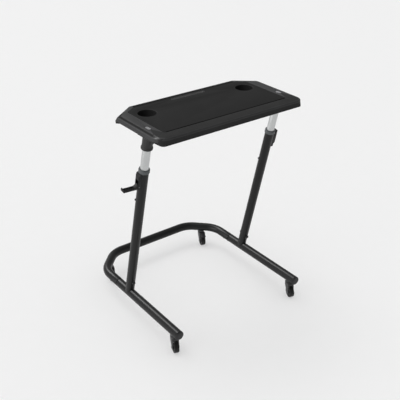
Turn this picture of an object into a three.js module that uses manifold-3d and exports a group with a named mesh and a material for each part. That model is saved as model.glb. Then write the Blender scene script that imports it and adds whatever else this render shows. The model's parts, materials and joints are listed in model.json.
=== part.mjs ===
// A rolling desk that stands over the front wheel of a bicycle on an indoor trainer.
// A U-shaped base of round steel tube runs on four swivel casters. Two posts lean back from its
// side rails toward the rider, and a moulded top rides on two inner tubes that slide in them.
// A cam lever on the outside of each post squeezes a shoe against the inner tube.
// Millimetres. +X is the rider's right, +Y points away from the rider, +Z is up.
// The origin is on the floor, half way between the rails and half way along the base.

import * as THREE from 'three';
import { mergeVertices } from 'three/addons/utils/BufferGeometryUtils.js';
import Module from 'manifold-3d';

const library = await Module();
library.setup();

// Clearances
const fit = 0.3;             // between two pieces that seat on each other
const overrun = 3;           // how far a cutting shape runs past what it cuts
const weldDistance = 0.001;  // corners closer than this are one corner

// Base frame of round tube
const baseDepth = 694;       // front of the rail caps to the back of the rear tube
const frameRadius = 19;
const frameWall = 1.5;
const cornerLeg = 102;       // each rear corner is cut off at 45 degrees by this much
const bendRadius = 103;      // on the tube's centre line
const seamBack = 241.5;      // rear face of the base to the seam between rail and rear tube
const swageLength = 64;      // reduced rail end inside the rear tube
const swageTaper = 3;
const capFlange = 4.5;
const capRound = 3;
const capSpigot = 18;

// Bolts under the seam
const jointBoltRadius = 3;
const jointBoltHeadRadius = 5.5;
const jointBoltHeadHeight = 4;
const jointBoltReach = 9;    // how far the shank passes the inner wall
const firstJointBolt = 15;   // behind the seam
const jointBoltPitch = 33;

// Casters
const casterHeight = 71;     // floor to the underside of the tube
const wheelRadius = 25;
const wheelWidth = 20;
const wheelShoulder = 2;
const rimDepth = 5.5;        // tread to the recessed web
const webRecess = 4;
const hubRadius = 7.5;
const hubStand = 0.3;        // the hub stands proud of the tread's side
const axleRadius = 3;
const axleHeadRadius = 5.5;
const axleHeadHeight = 2.5;
const wheelGap = 1;          // tread to fork leg
const legThickness = 3;
const legRadius = 10;        // round end of a leg about the axle
const casterTrail = 22;      // stem to axle, level
const crownRadius = 14;
const crownHeight = 10;
const crownRound = 3;
const legFrontSetback = 11;  // the leg's front edge starts this far behind the crown's front
const crownBack = 15;        // stem to the rear edge of the crown on a braked fork
const earReach = 27;         // stem to the rear edge of the leg
const stemRadius = 5;
const stemCollarRadius = 12;
const stemCollarHeight = 3.5;
const stemHeadRadius = 7.5;
const stemHeadHeight = 3.5;
const stemReach = 12;        // the stem inside the tube
const frontStemSetback = 46; // front face of the base to the front stems
const frontLeftHeading = -17;   // degrees, from straight back
const frontRightHeading = -17;
const rearLeftHeading = -17;
const rearRightHeading = -17;

// Brake pedals on the rear casters
const pedalPivotBack = 20;   // stem to pedal pivot
const pedalPivotDrop = 7;    // crown top to pedal pivot
const pedalHubRadius = 4;
const pedalGap = 0.5;        // pedal to leg
const trunnionRadius = 2;
const pedalThickness = 3;
const pedalReach = 27;       // pivot to the tab's end
const pedalTabDrop = 3;
const shoeLength = 8;
const shoeBack = 9;          // pivot to the middle of the shoe
const brakeGap = 2.8;        // shoe to tread when released

// Posts
const postLean = 14.17;      // degrees, toward the rider
const postFootY = 25;        // where the post's axis crosses the rail's axis
const postRadius = 19;
const postWall = 1.5;
const glideGap = 1.5;        // between the post's bore and the inner tube
const tubeShown = 91.5;       // collar to socket, at the height shown
const stubLength = 94;       // rail axis to the top of the welded stub
const footBoltHeight = 72;   // along the post
const footBoltRadius = 3;
const footBoltHeadRadius = 6;
const footBoltHeadHeight = 5.5;
const footNutRadius = 6.8;
const footNutHeight = 5;
const footNutDome = 3;

// Stop screw and the glide plug that meets it
const stopScrewDrop = 66;    // clamp housing to the screw below it
const stopScrewTurn = 62;    // degrees about the post, from its back toward the rider's left
const stopScrewRadius = 2.5;
const stopScrewHeadRadius = 4.2;
const stopScrewHeadHeight = 4;
const slideDrop = 70;        // from the height shown to the lowest
const dropMargin = 10;       // lowest plug to the welded stub
const plugFlange = 14;
const plugSpigot = 24;

// Guide collar
const collarSkirt = 8;       // overlaps the outside of the post
const collarWall = 2.4;
const collarHeight = 16;
const collarChamfer = 5;
const sleeveLength = 50;

// Cam clamp
const housingGap = 0.5;      // under the collar's skirt
const housingHeight = 69;
const housingHalfWidth = 13;
const housingFace = 9;       // post surface to the housing's outer face
const housingRound = 3;
const windowHeight = 42;
const cheekThickness = 2.5;
const leverPivotRise = 12;   // above the housing's lower end
const leverPivotOut = 4;     // post surface to the lever's pin
const leverPinRadius = 2;
const leverPinStand = 0.6;
const leverSideGap = 0.5;
const leverDepth = 6.5;
const leverLength = 65;      // pin to the tip
const leverWall = 2;
const leverTipThickness = 4;
const leverTipTurn = 5;
const leverNeck = 14;        // pin to the start of the flat arm
const leverRibCount = 4;
const leverOpenAngle = 86;   // degrees
const shoePadHalfWidth = 6;
const shoePadHalfHeight = 6;
const shoePadThickness = 1.7;

// Desk top
const deskHeight = 906.5;
const deskWidth = 692;
const deskDepth = 344.3;
const deskFrontReach = 118;  // post axis under the desk to the front edge
const deskThickness = 28;
const postInset = 37;        // desk end to the post's axis, which is the rail's too
const deskWall = 3;
const deckThickness = 5.5;
const deskCornerAcross = 94; // rear corners cut off, along X
const deskCornerAlong = 60;  // and along Y
const deskCornerRadius = 50;   // front corners, at the widest line
const plateauCornerRadius = 25;
const gripCornerRadius = 18;
const gripDepth = 16;        // how far the ends' bottom edge is drawn in, for the fingers
const gripHeight = 10.5;
const gripRamp = 17;         // end of the grip, before the rear corner
const endTaper = 0.5;        // over the same stretch
const edgeFlare = 6;
const slabHeight = 23;
const slabRound = 1.5;
const ledgeWidth = 9;
const grooveWidth = 1.2;
const grooveDepth = 1;
const plateauBevel = 1.8;
const plateauRound = 0.8;
const frontRound = 9;
const ribThickness = 2.5;
const ribSetback = 1.5;      // rib bottoms above the rim

// Desk mat
const matThickness = 2.5;
const matEndBand = 59;       // desk end to the mat
const matFrontBand = 51.3;   // desk front to the mat
const matRearBand = 26;
const matCornerRadius = 8;

// Bottle wells
const wellRadius = 36;
const wellTaper = 2;
const wellDepth = 45;
const wellLip = 3.5;
const wellWall = 2.5;
const wellInset = 113;       // desk end to the centre
const wellSetback = 103;     // rear edge to the centre

// Tablet slot
const slotLength = 152;
const slotWidth = 11;
const slotDepth = 24;
const slotLip = 2.5;
const slotWall = 2.5;
const slotSetback = 38;      // rear edge to the slot

// Inlays above the posts
const inlayLength = 28;
const inlayWidth = 12;
const inlayThickness = 1.5;

// Sockets under the desk
const socketLength = 56;     // along the post, below the desk
const socketWall = 3.7;
const socketLip = 2.5;
const socketLipHeight = 8;
const socketTubeMargin = 24; // inner tube's end to the desk
const flangeMargin = 1;      // grip to the flange
const flangeLength = 92;
const flangeThickness = 4.5;
const flangeRound = 8;
const webThickness = 4;
const webReach = 20;         // past the socket's wall
const webHeight = 38;
const socketScrewRadius = 2;
const socketScrewHeadRadius = 4.2;
const socketScrewHeadHeight = 2.5;
const socketScrewDepth = 8;
const socketScrewIn = 14;    // inboard of the post
const socketScrewSpread = 68;

// Shares of a size
const headEdgeShare = 0.35;   // of a domed head's height, up to the end of its straight side
const headCrownShare = 0.85;
const headTopShare = 0.7;     // of a head's radius, left flat on top
const nutDomeShare = 0.8;     // of a nut's radius
const nutCrownShare = 0.55;
const camNeckShares = [0.8, 0.6];
const acrossRibShares = [0.2, 0.39, 0.58];         // of the desk's depth, from the front
const alongRibShares = [0.14, 0.28, 0.42, 0.56, 0.7];  // of half its width, from the middle
const pedalFallShares = [2, headTopShare];       // of the pedal's hub, where the tab leaves it

// Smoothness
const tubeSides = 16;
const bendSteps = 4;
const wheelSides = 16;
const boltSides = 8;
const wellSides = 24;
const cornerSteps = 4;
const roundSteps = 2;        // to each eighth of a turn

// Worked out from the sizes above
const lean = THREE.MathUtils.degToRad(postLean);
const stopTurn = THREE.MathUtils.degToRad(stopScrewTurn);
const railX = deskWidth / 2 - postInset;
const railHeight = casterHeight + frameRadius;
const frontY = -baseDepth / 2;
const rearTubeY = baseDepth / 2 - frameRadius;
const seamY = baseDepth / 2 - seamBack;
const railStart = frontY + capFlange + fit;
const frameBore = frameRadius - frameWall;
const swageRadius = frameBore - fit;
const postBore = postRadius - postWall;
const stubRadius = postBore - fit;
const innerRadius = postBore - glideGap;
const innerBore = innerRadius - postWall;
const alongPost = (height) => (height - railHeight) / Math.cos(lean);
const deskBottom = deskHeight - deskThickness;
const deskAlong = alongPost(deskBottom);
const socketY = postFootY - deskAlong * Math.sin(lean);
const deskFrontY = socketY - deskFrontReach;
const deskRearY = deskFrontY + deskDepth;
const socketBottom = deskAlong - socketLength;
const innerTop = deskAlong - socketTubeMargin;
const flangeWidth = 2 * (postInset - gripDepth - flangeMargin);
const innerBottom = stubLength + dropMargin + slideDrop + plugFlange + fit;
const collarTop = socketBottom - tubeShown;
const postLength = collarTop - collarHeight + collarSkirt;
const housingTop = postLength - collarSkirt - housingGap;
const housingBottom = housingTop - housingHeight;
const windowTop = housingBottom + windowHeight;
const leverPivotHeight = housingBottom + leverPivotRise;
const stopScrewHeight = housingBottom - stopScrewDrop;
const forkInner = wheelWidth / 2 + wheelGap;
const forkOuter = forkInner + legThickness;
const crownTop = casterHeight - stemCollarHeight - 2 * fit;
const crownBottom = crownTop - crownHeight;
const cornerMiddle = cornerLeg / 2;
const rearStemX = railX - cornerMiddle;
const rearStemY = rearTubeY - cornerMiddle;

// Finishes
const finishes = {
  frame: { color: 0x2f2f31, roughness: 0.5, metalness: 0.35 },
  plastic: { color: 0x2c2c2d, roughness: 0.6, metalness: 0 },
  collar: { color: 0x55595d, roughness: 0.55, metalness: 0 },
  top: { color: 0x29292a, roughness: 0.55, metalness: 0 },
  mat: { color: 0x1d1d1e, roughness: 0.85, metalness: 0 },
  silver: { color: 0xb9bcc0, roughness: 0.35, metalness: 0.8 },
  steel: { color: 0x8d9094, roughness: 0.4, metalness: 0.9 },
  blackBolt: { color: 0x1b1b1c, roughness: 0.45, metalness: 0.6 },
  fork: { color: 0x3b3b3d, roughness: 0.5, metalness: 0.1 },
  wheel: { color: 0x19191a, roughness: 0.7, metalness: 0 },
};

// Solids and the meshes made of them

function solidOf(geometry) {
  const bare = new THREE.BufferGeometry();
  bare.setAttribute('position', geometry.getAttribute('position').clone());
  if (geometry.index) bare.setIndex(geometry.index.clone());
  const welded = mergeVertices(bare, weldDistance);
  const places = welded.getAttribute('position');
  const corners = welded.index.array;
  const triangles = [];
  const [a, b, c] = [new THREE.Vector3(), new THREE.Vector3(), new THREE.Vector3()];
  let volume = 0;
  for (let start = 0; start < corners.length; start += 3) {
    const [first, second, third] = corners.slice(start, start + 3);
    if (first === second || second === third || third === first) continue;
    triangles.push(first, second, third);
    a.fromBufferAttribute(places, first);
    b.fromBufferAttribute(places, second);
    c.fromBufferAttribute(places, third);
    volume += a.dot(b.cross(c));
  }
  // Reversing the whole list turns every face over.
  if (volume < 0) triangles.reverse();
  const vertProperties = new Float32Array(places.array);
  const triVerts = new Uint32Array(triangles);
  return new library.Manifold(new library.Mesh({ numProp: 3, vertProperties, triVerts }));
}

function geometryOf(solid) {
  const mesh = solid.getMesh();
  const geometry = new THREE.BufferGeometry();
  geometry.setAttribute('position', new THREE.BufferAttribute(new Float32Array(mesh.vertProperties), 3));
  geometry.setIndex([...mesh.triVerts]);
  return geometry;
}

function addPiece(parent, name, shape, finish) {
  const solid = shape.isBufferGeometry ? solidOf(shape) : shape;
  const material = new THREE.MeshStandardMaterial({ ...finishes[finish], flatShading: true });
  const mesh = new THREE.Mesh(geometryOf(solid), material);
  mesh.name = name;
  parent.add(mesh);
  return mesh;
}

const joined = (shapes) => shapes.map(solidOf).reduce((whole, more) => whole.add(more));
const without = (solid, shapes) => shapes.reduce((left, cut) => left.subtract(solidOf(cut)), solid);

// Shapes in their own axes

// A profile of [radius, height] pairs, turned about Z. It closes on itself unless it ends on the axis.
function turned(profile, sides = tubeSides) {
  const outline = profile.map(([radius, height]) => new THREE.Vector2(radius, height));
  const onAxis = outline[0].x === 0 && outline.at(-1).x === 0;
  if (!onAxis) outline.push(outline[0].clone());
  return new THREE.LatheGeometry(outline, sides).rotateX(Math.PI / 2);
}

const rod = (radius, from, to, sides = boltSides) =>
  turned([[0, from], [radius, from], [radius, to], [0, to]], sides);

// A hole whose flats, not its corners, clear a shaft of this radius.
const shaftHole = (radius, from, to) => rod((radius + fit) / Math.cos(Math.PI / boltSides), from, to);

const pipe = (outer, inner, from, to) => turned([[inner, from], [outer, from], [outer, to], [inner, to]]);

const alongX = (geometry) => geometry.rotateY(Math.PI / 2);
const alongY = (geometry) => geometry.rotateX(-Math.PI / 2);

function box(low, high) {
  const size = high.map((value, axis) => value - low[axis]);
  const middle = high.map((value, axis) => (value + low[axis]) / 2);
  return new THREE.BoxGeometry(...size).translate(...middle);
}

// Each arc of an outline gets twice as many pieces as its segments.
function prism(shape, depth, curveSegments = roundSteps) {
  return new THREE.ExtrudeGeometry(shape, { depth, bevelEnabled: false, curveSegments });
}

// A side view drawn in Y and Z, given its width about the middle plane.
function sidePrism(shape, halfWidth, curveSegments = roundSteps) {
  const turn = new THREE.Matrix4().makeBasis(
    new THREE.Vector3(0, 1, 0),
    new THREE.Vector3(0, 0, 1),
    new THREE.Vector3(1, 0, 0),
  );
  return prism(shape, 2 * halfWidth, curveSegments).translate(0, 0, -halfWidth).applyMatrix4(turn);
}

// A front view drawn in X and Z, given its width about the middle plane.
function frontPrism(shape, halfWidth, curveSegments = roundSteps) {
  const turn = new THREE.Matrix4().makeBasis(
    new THREE.Vector3(1, 0, 0),
    new THREE.Vector3(0, 0, 1),
    new THREE.Vector3(0, -1, 0),
  );
  return prism(shape, 2 * halfWidth, curveSegments).translate(0, 0, -halfWidth).applyMatrix4(turn);
}

function polygon(points) {
  return new THREE.Shape(points.map(([x, y]) => new THREE.Vector2(x, y)));
}

// A rectangle about the origin with round corners.
function roundedRectangle(width, height, radius) {
  const [x, y] = [width / 2, height / 2];
  const shape = new THREE.Shape();
  shape.absarc(x - radius, radius - y, radius, -Math.PI / 2, 0);
  shape.absarc(x - radius, y - radius, radius, 0, Math.PI / 2);
  shape.absarc(radius - x, y - radius, radius, Math.PI / 2, Math.PI);
  shape.absarc(radius - x, radius - y, radius, Math.PI, 1.5 * Math.PI);
  shape.closePath();
  return shape;
}

const mirrored = (geometry, side) => geometry.scale(side, 1, 1);

// The bent rear tube

// A curve that knows only its stations, so that a straight run costs no rings.
class StationPath extends THREE.Curve {
  constructor(stations) {
    super();
    this.stations = stations;
  }

  stationAt(share) {
    return this.stations[Math.round(share * (this.stations.length - 1))];
  }

  getPointAt(share) {
    return this.stationAt(share).place.clone();
  }

  getTangentAt(share) {
    return this.stationAt(share).direction.clone();
  }
}

// Stations along straight runs between corners, each corner rounded to one bend radius.
function bentStations(corners, radius) {
  const directionOf = (index) => corners[index + 1].clone().sub(corners[index]).normalize();
  const stations = [{ place: corners[0], direction: directionOf(0) }];
  for (let index = 1; index < corners.length - 1; index += 1) {
    const before = directionOf(index - 1);
    const after = directionOf(index);
    const turn = before.angleTo(after);
    const inward = after.clone().addScaledVector(before, -after.dot(before)).normalize();
    const start = corners[index].clone().addScaledVector(before, -radius * Math.tan(turn / 2));
    const centre = start.clone().addScaledVector(inward, radius);
    for (let step = 0; step <= bendSteps; step += 1) {
      const angle = (turn * step) / bendSteps;
      const place = centre.clone()
        .addScaledVector(inward, -radius * Math.cos(angle))
        .addScaledVector(before, radius * Math.sin(angle));
      const direction = before.clone()
        .multiplyScalar(Math.cos(angle))
        .addScaledVector(inward, Math.sin(angle));
      stations.push({ place, direction });
    }
  }
  stations.push({ place: corners.at(-1), direction: directionOf(corners.length - 2) });
  return stations;
}

function ringSection(outer, inner) {
  const section = new THREE.Shape();
  section.absarc(0, 0, outer, 0, 2 * Math.PI);
  const bore = new THREE.Path();
  bore.absarc(0, 0, inner, 0, 2 * Math.PI, true);
  section.holes.push(bore);
  return section;
}

const jointBoltPlaces = [0, 1].map((index) => seamY + firstJointBolt + index * jointBoltPitch);
const casters = [
  { name: 'front_left', x: -railX, y: frontY + frontStemSetback, heading: frontLeftHeading, braked: false },
  { name: 'front_right', x: railX, y: frontY + frontStemSetback, heading: frontRightHeading, braked: false },
  { name: 'rear_left', x: -rearStemX, y: rearStemY, heading: rearLeftHeading, braked: true },
  { name: 'rear_right', x: rearStemX, y: rearStemY, heading: rearRightHeading, braked: true },
];

// Holes through the underside of a frame tube, for the stems and the seam's bolts.
const stemHole = (caster) =>
  shaftHole(stemRadius, casterHeight - overrun, railHeight).translate(caster.x, caster.y, 0);
const jointHole = (x, y) => shaftHole(jointBoltRadius, casterHeight - overrun, railHeight).translate(x, y, 0);

function rearTube() {
  const corners = [
    [-railX, seamY],
    [-railX, rearTubeY - cornerLeg],
    [cornerLeg - railX, rearTubeY],
    [railX - cornerLeg, rearTubeY],
    [railX, rearTubeY - cornerLeg],
    [railX, seamY],
  ].map(([x, y]) => new THREE.Vector3(x, y, railHeight));
  const stations = bentStations(corners, bendRadius);
  const tube = new THREE.ExtrudeGeometry(ringSection(frameRadius, frameBore), {
    steps: stations.length - 1,
    extrudePath: new StationPath(stations),
    curveSegments: tubeSides / 2,
  });
  const stemHoles = casters.filter((caster) => caster.braked).map(stemHole);
  const boltHoles = [-railX, railX].flatMap((x) => jointBoltPlaces.map((y) => jointHole(x, y)));
  return without(solidOf(tube), [...stemHoles, ...boltHoles]);
}

// A side rail: round tube with a reduced end for the rear tube and a welded stub for the post.
function sideRail(side) {
  const swageStart = seamY - fit;
  const swageEnd = seamY + swageLength;
  const tube = alongY(turned([
    [frameBore, railStart],
    [frameRadius, railStart],
    [frameRadius, swageStart],
    [swageRadius, swageStart],
    [swageRadius, swageEnd],
    [swageRadius - frameWall, swageEnd],
    [swageRadius - frameWall, swageStart - swageTaper],
    [frameBore, swageStart - swageTaper - frameWall],
  ])).translate(side * railX, 0, railHeight);
  const stubBlank = rod(stubRadius, 0, stubLength, tubeSides).applyMatrix4(postPlace(side));
  const stubBore = rod(stubRadius - postWall, 0, stubLength + overrun, tubeSides)
    .applyMatrix4(postPlace(side));
  // The stub's lower end stops inside the rail's wall, where it is welded.
  const weldDepth = frameRadius - frameWall / 2;
  const railCore = alongY(rod(weldDepth, frontY, seamY - swageTaper, tubeSides))
    .translate(side * railX, 0, railHeight);
  const stub = solidOf(stubBlank).subtract(solidOf(stubBore)).subtract(solidOf(railCore));
  const boltHole = footBoltHole().applyMatrix4(postPlace(side));
  const frontCaster = casters.find((caster) => !caster.braked && Math.sign(caster.x) === side);
  const bolts = jointBoltPlaces.map((y) => jointHole(side * railX, y));
  return without(solidOf(tube).add(stub), [boltHole, stemHole(frontCaster), ...bolts]);
}

const railCap = (side) => alongY(turned([
  [0, frontY],
  [frameRadius - capRound, frontY],
  [frameRadius, frontY + capRound],
  [frameRadius, frontY + capFlange],
  [frameBore - fit, frontY + capFlange],
  [frameBore - fit, frontY + capFlange + capSpigot],
  [0, frontY + capFlange + capSpigot],
])).translate(side * railX, 0, railHeight);

function jointBolt(x, y) {
  const head = casterHeight - fit;
  return turned([
    [0, head - jointBoltHeadHeight],
    [jointBoltHeadRadius * headTopShare, head - jointBoltHeadHeight],
    [jointBoltHeadRadius, head - jointBoltHeadHeight / 2],
    [jointBoltHeadRadius, head],
    [jointBoltRadius, head],
    [jointBoltRadius, casterHeight + 2 * frameWall + jointBoltReach],
    [0, casterHeight + 2 * frameWall + jointBoltReach],
  ], boltSides).translate(x, y, 0);
}

// Posts. Each post's own frame has its origin on the rail's axis and Z along the post.

function postPlace(side) {
  return new THREE.Matrix4()
    .makeTranslation(side * railX, postFootY, railHeight)
    .multiply(new THREE.Matrix4().makeRotationX(lean));
}

const footBoltHole = () => alongY(shaftHole(footBoltRadius, -postRadius - overrun, postRadius + overrun))
  .translate(0, 0, footBoltHeight);

function outerPost(side) {
  const rail = alongY(rod(frameRadius + fit, -postRadius * 2, postRadius * 2, tubeSides)).rotateX(-lean);
  const stopHole = alongY(shaftHole(stopScrewRadius, innerRadius, postRadius + overrun))
    .rotateZ(stopTurn).translate(0, 0, stopScrewHeight);
  const padWindow = box(
    [innerRadius, -shoePadHalfWidth - fit, leverPivotHeight - shoePadHalfHeight - fit],
    [postRadius + overrun, shoePadHalfWidth + fit, leverPivotHeight + shoePadHalfHeight + fit],
  );
  const cuts = [rail, footBoltHole(), stopHole, mirrored(padWindow, side)];
  return without(solidOf(pipe(postRadius, postBore, 0, postLength)), cuts);
}

const footBolt = () => alongY(turned([
  [0, -postRadius - fit - footNutHeight],
  [footBoltRadius, -postRadius - fit - footNutHeight],
  [footBoltRadius, postRadius + fit],
  [footBoltHeadRadius, postRadius + fit],
  [footBoltHeadRadius, postRadius + fit + footBoltHeadHeight * headEdgeShare],
  [footBoltHeadRadius * headTopShare, postRadius + fit + footBoltHeadHeight * headCrownShare],
  [0, postRadius + fit + footBoltHeadHeight],
], boltSides)).translate(0, 0, footBoltHeight);

// An acorn nut: a hexagon with a dome, on the bolt's front end.
function footNut() {
  const face = -postRadius - fit;
  const hexagon = alongY(rod(footNutRadius, face - footNutHeight, face, 6));
  const dome = alongY(turned([
    [0, face - footNutHeight - footNutDome],
    [footNutRadius * nutCrownShare, face - footNutHeight - footNutDome * headTopShare],
    [footNutRadius * nutDomeShare, face - footNutHeight],
    [footNutRadius * nutDomeShare, face - footNutHeight / 2],
    [0, face - footNutHeight / 2],
  ], boltSides));
  const bore = alongY(shaftHole(footBoltRadius, face - footNutHeight - fit, face + overrun));
  return joined([hexagon, dome]).subtract(solidOf(bore)).translate(0, 0, footBoltHeight);
}

const stopScrew = () => alongY(turned([
  [0, innerRadius + fit],
  [stopScrewRadius, innerRadius + fit],
  [stopScrewRadius, postRadius + fit],
  [stopScrewHeadRadius, postRadius + fit],
  [stopScrewHeadRadius, postRadius + fit + stopScrewHeadHeight / 2],
  [stopScrewHeadRadius * headTopShare, postRadius + fit + stopScrewHeadHeight],
  [0, postRadius + fit + stopScrewHeadHeight],
], boltSides)).rotateZ(stopTurn).translate(0, 0, stopScrewHeight);

// The collar caps the post, grips its outside with a skirt and lines its bore with a sleeve.
const guideCollar = () => turned([
  [innerRadius + fit, postLength - sleeveLength],
  [postBore - fit, postLength - sleeveLength],
  [postBore - fit, postLength + fit],
  [postRadius + fit, postLength + fit],
  [postRadius + fit, postLength - collarSkirt],
  [postRadius + fit + collarWall, postLength - collarSkirt],
  [postRadius + fit + collarWall, collarTop - collarChamfer],
  [postRadius + fit + collarWall - collarChamfer / 2, collarTop],
  [innerRadius + fit, collarTop],
]);

// The cam clamp, drawn for the right post: X points away from the desk's middle.

const leverHalfWidth = housingHalfWidth - cheekThickness - leverSideGap;
const pivotX = postRadius + leverPivotOut;
const padOuter = innerRadius + fit + shoePadThickness;
const camRadius = pivotX - padOuter - fit;
const housingX = postRadius + housingFace;
const leverInner = housingX + fit - pivotX;
const leverOuter = leverInner + leverDepth;

function clampHousing() {
  const [x, y] = [housingX, housingHalfWidth];
  const plan = polygon([
    [0, -y],
    [x - housingRound, -y],
    [x, housingRound - y],
    [x, y - housingRound],
    [x - housingRound, y],
    [0, y],
  ]);
  const block = prism(plan, housingTop - housingBottom).translate(0, 0, housingBottom);
  const tube = rod(postRadius + fit, housingBottom - overrun, housingTop + overrun, tubeSides);
  const slot = box(
    [0, cheekThickness - y, housingBottom - overrun],
    [x + overrun, y - cheekThickness, windowTop],
  );
  // The outer top edge slopes, so that a thumb can reach behind the lever's tip.
  const slope = frontPrism(polygon([
    [x - 2 * housingRound, housingTop + overrun],
    [x - 2 * housingRound, housingTop],
    [x, housingTop - 3 * housingRound],
    [x + overrun, housingTop - 3 * housingRound],
    [x + overrun, housingTop + overrun],
  ]), y + overrun);
  const pinHole = alongY(shaftHole(leverPinRadius, -y - overrun, y + overrun))
    .translate(pivotX, 0, leverPivotHeight);
  return without(solidOf(block), [tube, slot, slope, pinHole]);
}

const leverPinEnd = housingHalfWidth + leverPinStand;
const leverPin = () => alongY(rod(leverPinRadius, -leverPinEnd, leverPinEnd));

function shoePad() {
  const ring = pipe(padOuter, innerRadius + fit, -shoePadHalfHeight, shoePadHalfHeight);
  const keep = box(
    [0, -shoePadHalfWidth, -shoePadHalfHeight - overrun],
    [postRadius, shoePadHalfWidth, shoePadHalfHeight + overrun],
  );
  return solidOf(ring).intersect(solidOf(keep));
}

// The lever about its own pin, closed: Z runs up the arm and X points away from the post.
function clampLever() {
  const side = new THREE.Shape();
  side.absarc(0, 0, camRadius, Math.PI, 1.75 * Math.PI, false);
  side.lineTo(leverOuter - leverWall, 0);
  side.lineTo(leverOuter, leverNeck / 2);
  side.lineTo(leverOuter, leverLength - leverWall);
  side.lineTo(leverOuter - leverWall, leverLength);
  side.lineTo(leverInner - leverTipTurn, leverLength);
  side.lineTo(leverInner - leverTipTurn, leverLength - leverTipThickness);
  side.lineTo(leverInner, leverLength - leverTipThickness - leverWall / 2);
  side.lineTo(leverInner, leverNeck);
  side.lineTo(-camRadius * camNeckShares[0], camRadius * camNeckShares[1]);
  side.closePath();
  const blank = solidOf(frontPrism(side, leverHalfWidth, 4));
  const bore = alongY(shaftHole(leverPinRadius, -leverHalfWidth - overrun, leverHalfWidth + overrun));
  // Pockets from the side that faces the post leave two walls and a row of cross ribs.
  const cellStart = leverNeck + leverWall;
  const cellPitch = (leverLength - leverTipThickness - leverWall - cellStart) / leverRibCount;
  const pockets = Array.from({ length: leverRibCount }, (_, index) => box(
    [leverInner - overrun, leverWall - leverHalfWidth, cellStart + index * cellPitch],
    [leverOuter - leverWall, leverHalfWidth - leverWall, cellStart + (index + 1) * cellPitch - leverWall],
  ));
  return without(blank, [bore, ...pockets]);
}

// Inner tubes and what they carry

const innerTube = () => pipe(innerRadius, innerBore, innerBottom, innerTop);

const glidePlug = () => turned([
  [0, innerBottom - fit - plugFlange],
  [postBore - fit, innerBottom - fit - plugFlange],
  [postBore - fit, innerBottom - fit],
  [innerBore - fit, innerBottom - fit],
  [innerBore - fit, innerBottom + plugSpigot],
  [0, innerBottom + plugSpigot],
]);

const socketScrewPlaces = (side) => [-1, 1].map((end) => [
  side * (railX - socketScrewIn),
  socketY + (end * socketScrewSpread) / 2,
]);

function tubeSocket(side) {
  const place = postPlace(side);
  const top = deskBottom - fit;
  const wallRadius = innerRadius + fit + socketWall;
  const barrel = turned([
    [0, socketBottom],
    [wallRadius + socketLip, socketBottom],
    [wallRadius + socketLip, socketBottom + socketLipHeight],
    [wallRadius, socketBottom + socketLipHeight + socketLip],
    [wallRadius, deskAlong + wallRadius],
    [0, deskAlong + wallRadius],
  ]).applyMatrix4(place);
  const flange = prism(roundedRectangle(flangeWidth, flangeLength, flangeRound), flangeThickness)
    .translate(side * railX, socketY, top - flangeThickness);
  const reach = wallRadius + webReach;
  const lowY = socketY + webHeight * Math.tan(lean);
  // One web runs inboard and one toward the rider, where the desk's weight bends the socket.
  const inboardWeb = frontPrism(polygon([
    [0, top - webHeight],
    [-side * wallRadius, top - webHeight],
    [-side * reach, top - flangeThickness],
    [-side * reach, top],
    [0, top],
  ]), webThickness / 2).translate(side * railX, socketY, 0);
  const frontWeb = sidePrism(polygon([
    [lowY, top - webHeight],
    [lowY - wallRadius, top - webHeight],
    [socketY - reach, top - flangeThickness],
    [socketY - reach, top],
    [lowY, top],
  ]), webThickness / 2).translate(side * railX, 0, 0);
  const bore = rod(innerRadius + fit, socketBottom - overrun, innerTop + fit, tubeSides).applyMatrix4(place);
  const above = box(
    [side * railX - flangeWidth, socketY - flangeLength, top],
    [side * railX + flangeWidth, socketY + flangeLength, top + 2 * wallRadius],
  );
  const screwHoles = socketScrewPlaces(side).map(([x, y]) =>
    shaftHole(socketScrewRadius, top - flangeThickness - overrun, top + overrun).translate(x, y, 0));
  return without(joined([barrel, flange, inboardWeb, frontWeb]), [bore, above, ...screwHoles]);
}

function socketScrew([x, y]) {
  const seat = deskBottom - fit - flangeThickness - fit;
  return turned([
    [0, seat - socketScrewHeadHeight],
    [socketScrewHeadRadius * headTopShare, seat - socketScrewHeadHeight],
    [socketScrewHeadRadius, seat - socketScrewHeadHeight / 2],
    [socketScrewHeadRadius, seat],
    [socketScrewRadius, seat],
    [socketScrewRadius, deskBottom + socketScrewDepth],
    [0, deskBottom + socketScrewDepth],
  ], boltSides).translate(x, y, 0);
}

// Desk top

// The desk's plan, pulled in by its own amount at the front, at the rear and along the ends. The
// ends may be drawn in further between the front corner and the ramp before the rear corner.
// Each corner of the plan also says how far it follows the round front and rear edges.
function deskPlan({ end, front, rear, radius, grip = end, cut = rear }) {
  const slant = Math.hypot(deskCornerAcross, deskCornerAlong);
  const normal = [deskCornerAlong / slant, deskCornerAcross / slant];
  const cutDistance = normal[0] * (deskWidth / 2) + normal[1] * (deskRearY - deskCornerAlong);
  const endX = deskWidth / 2 - end - endTaper;
  const gripX = deskWidth / 2 - grip;
  const rearY = deskRearY - rear;
  const endY = (cutDistance - cut - normal[0] * endX) / normal[1];
  const rearX = (cutDistance - rear - normal[1] * rearY) / normal[0];
  const half = [
    { x: gripX, y: endY - gripRamp, front: 0 },
    { x: endX, y: endY, front: 0 },
    { x: rearX, y: rearY, front: 1 },
  ];
  const frontCorner = Array.from({ length: cornerSteps + 1 }, (_, step) => {
    const angle = (Math.PI / 2) * (step / cornerSteps);
    return {
      x: gripX - radius + radius * Math.cos(angle),
      y: deskFrontY + front + radius - radius * Math.sin(angle),
      front: step / cornerSteps,
    };
  });
  const right = [...frontCorner.reverse(), ...half];
  return [...right, ...right.map((place) => ({ ...place, x: -place.x })).reverse()];
}

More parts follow.
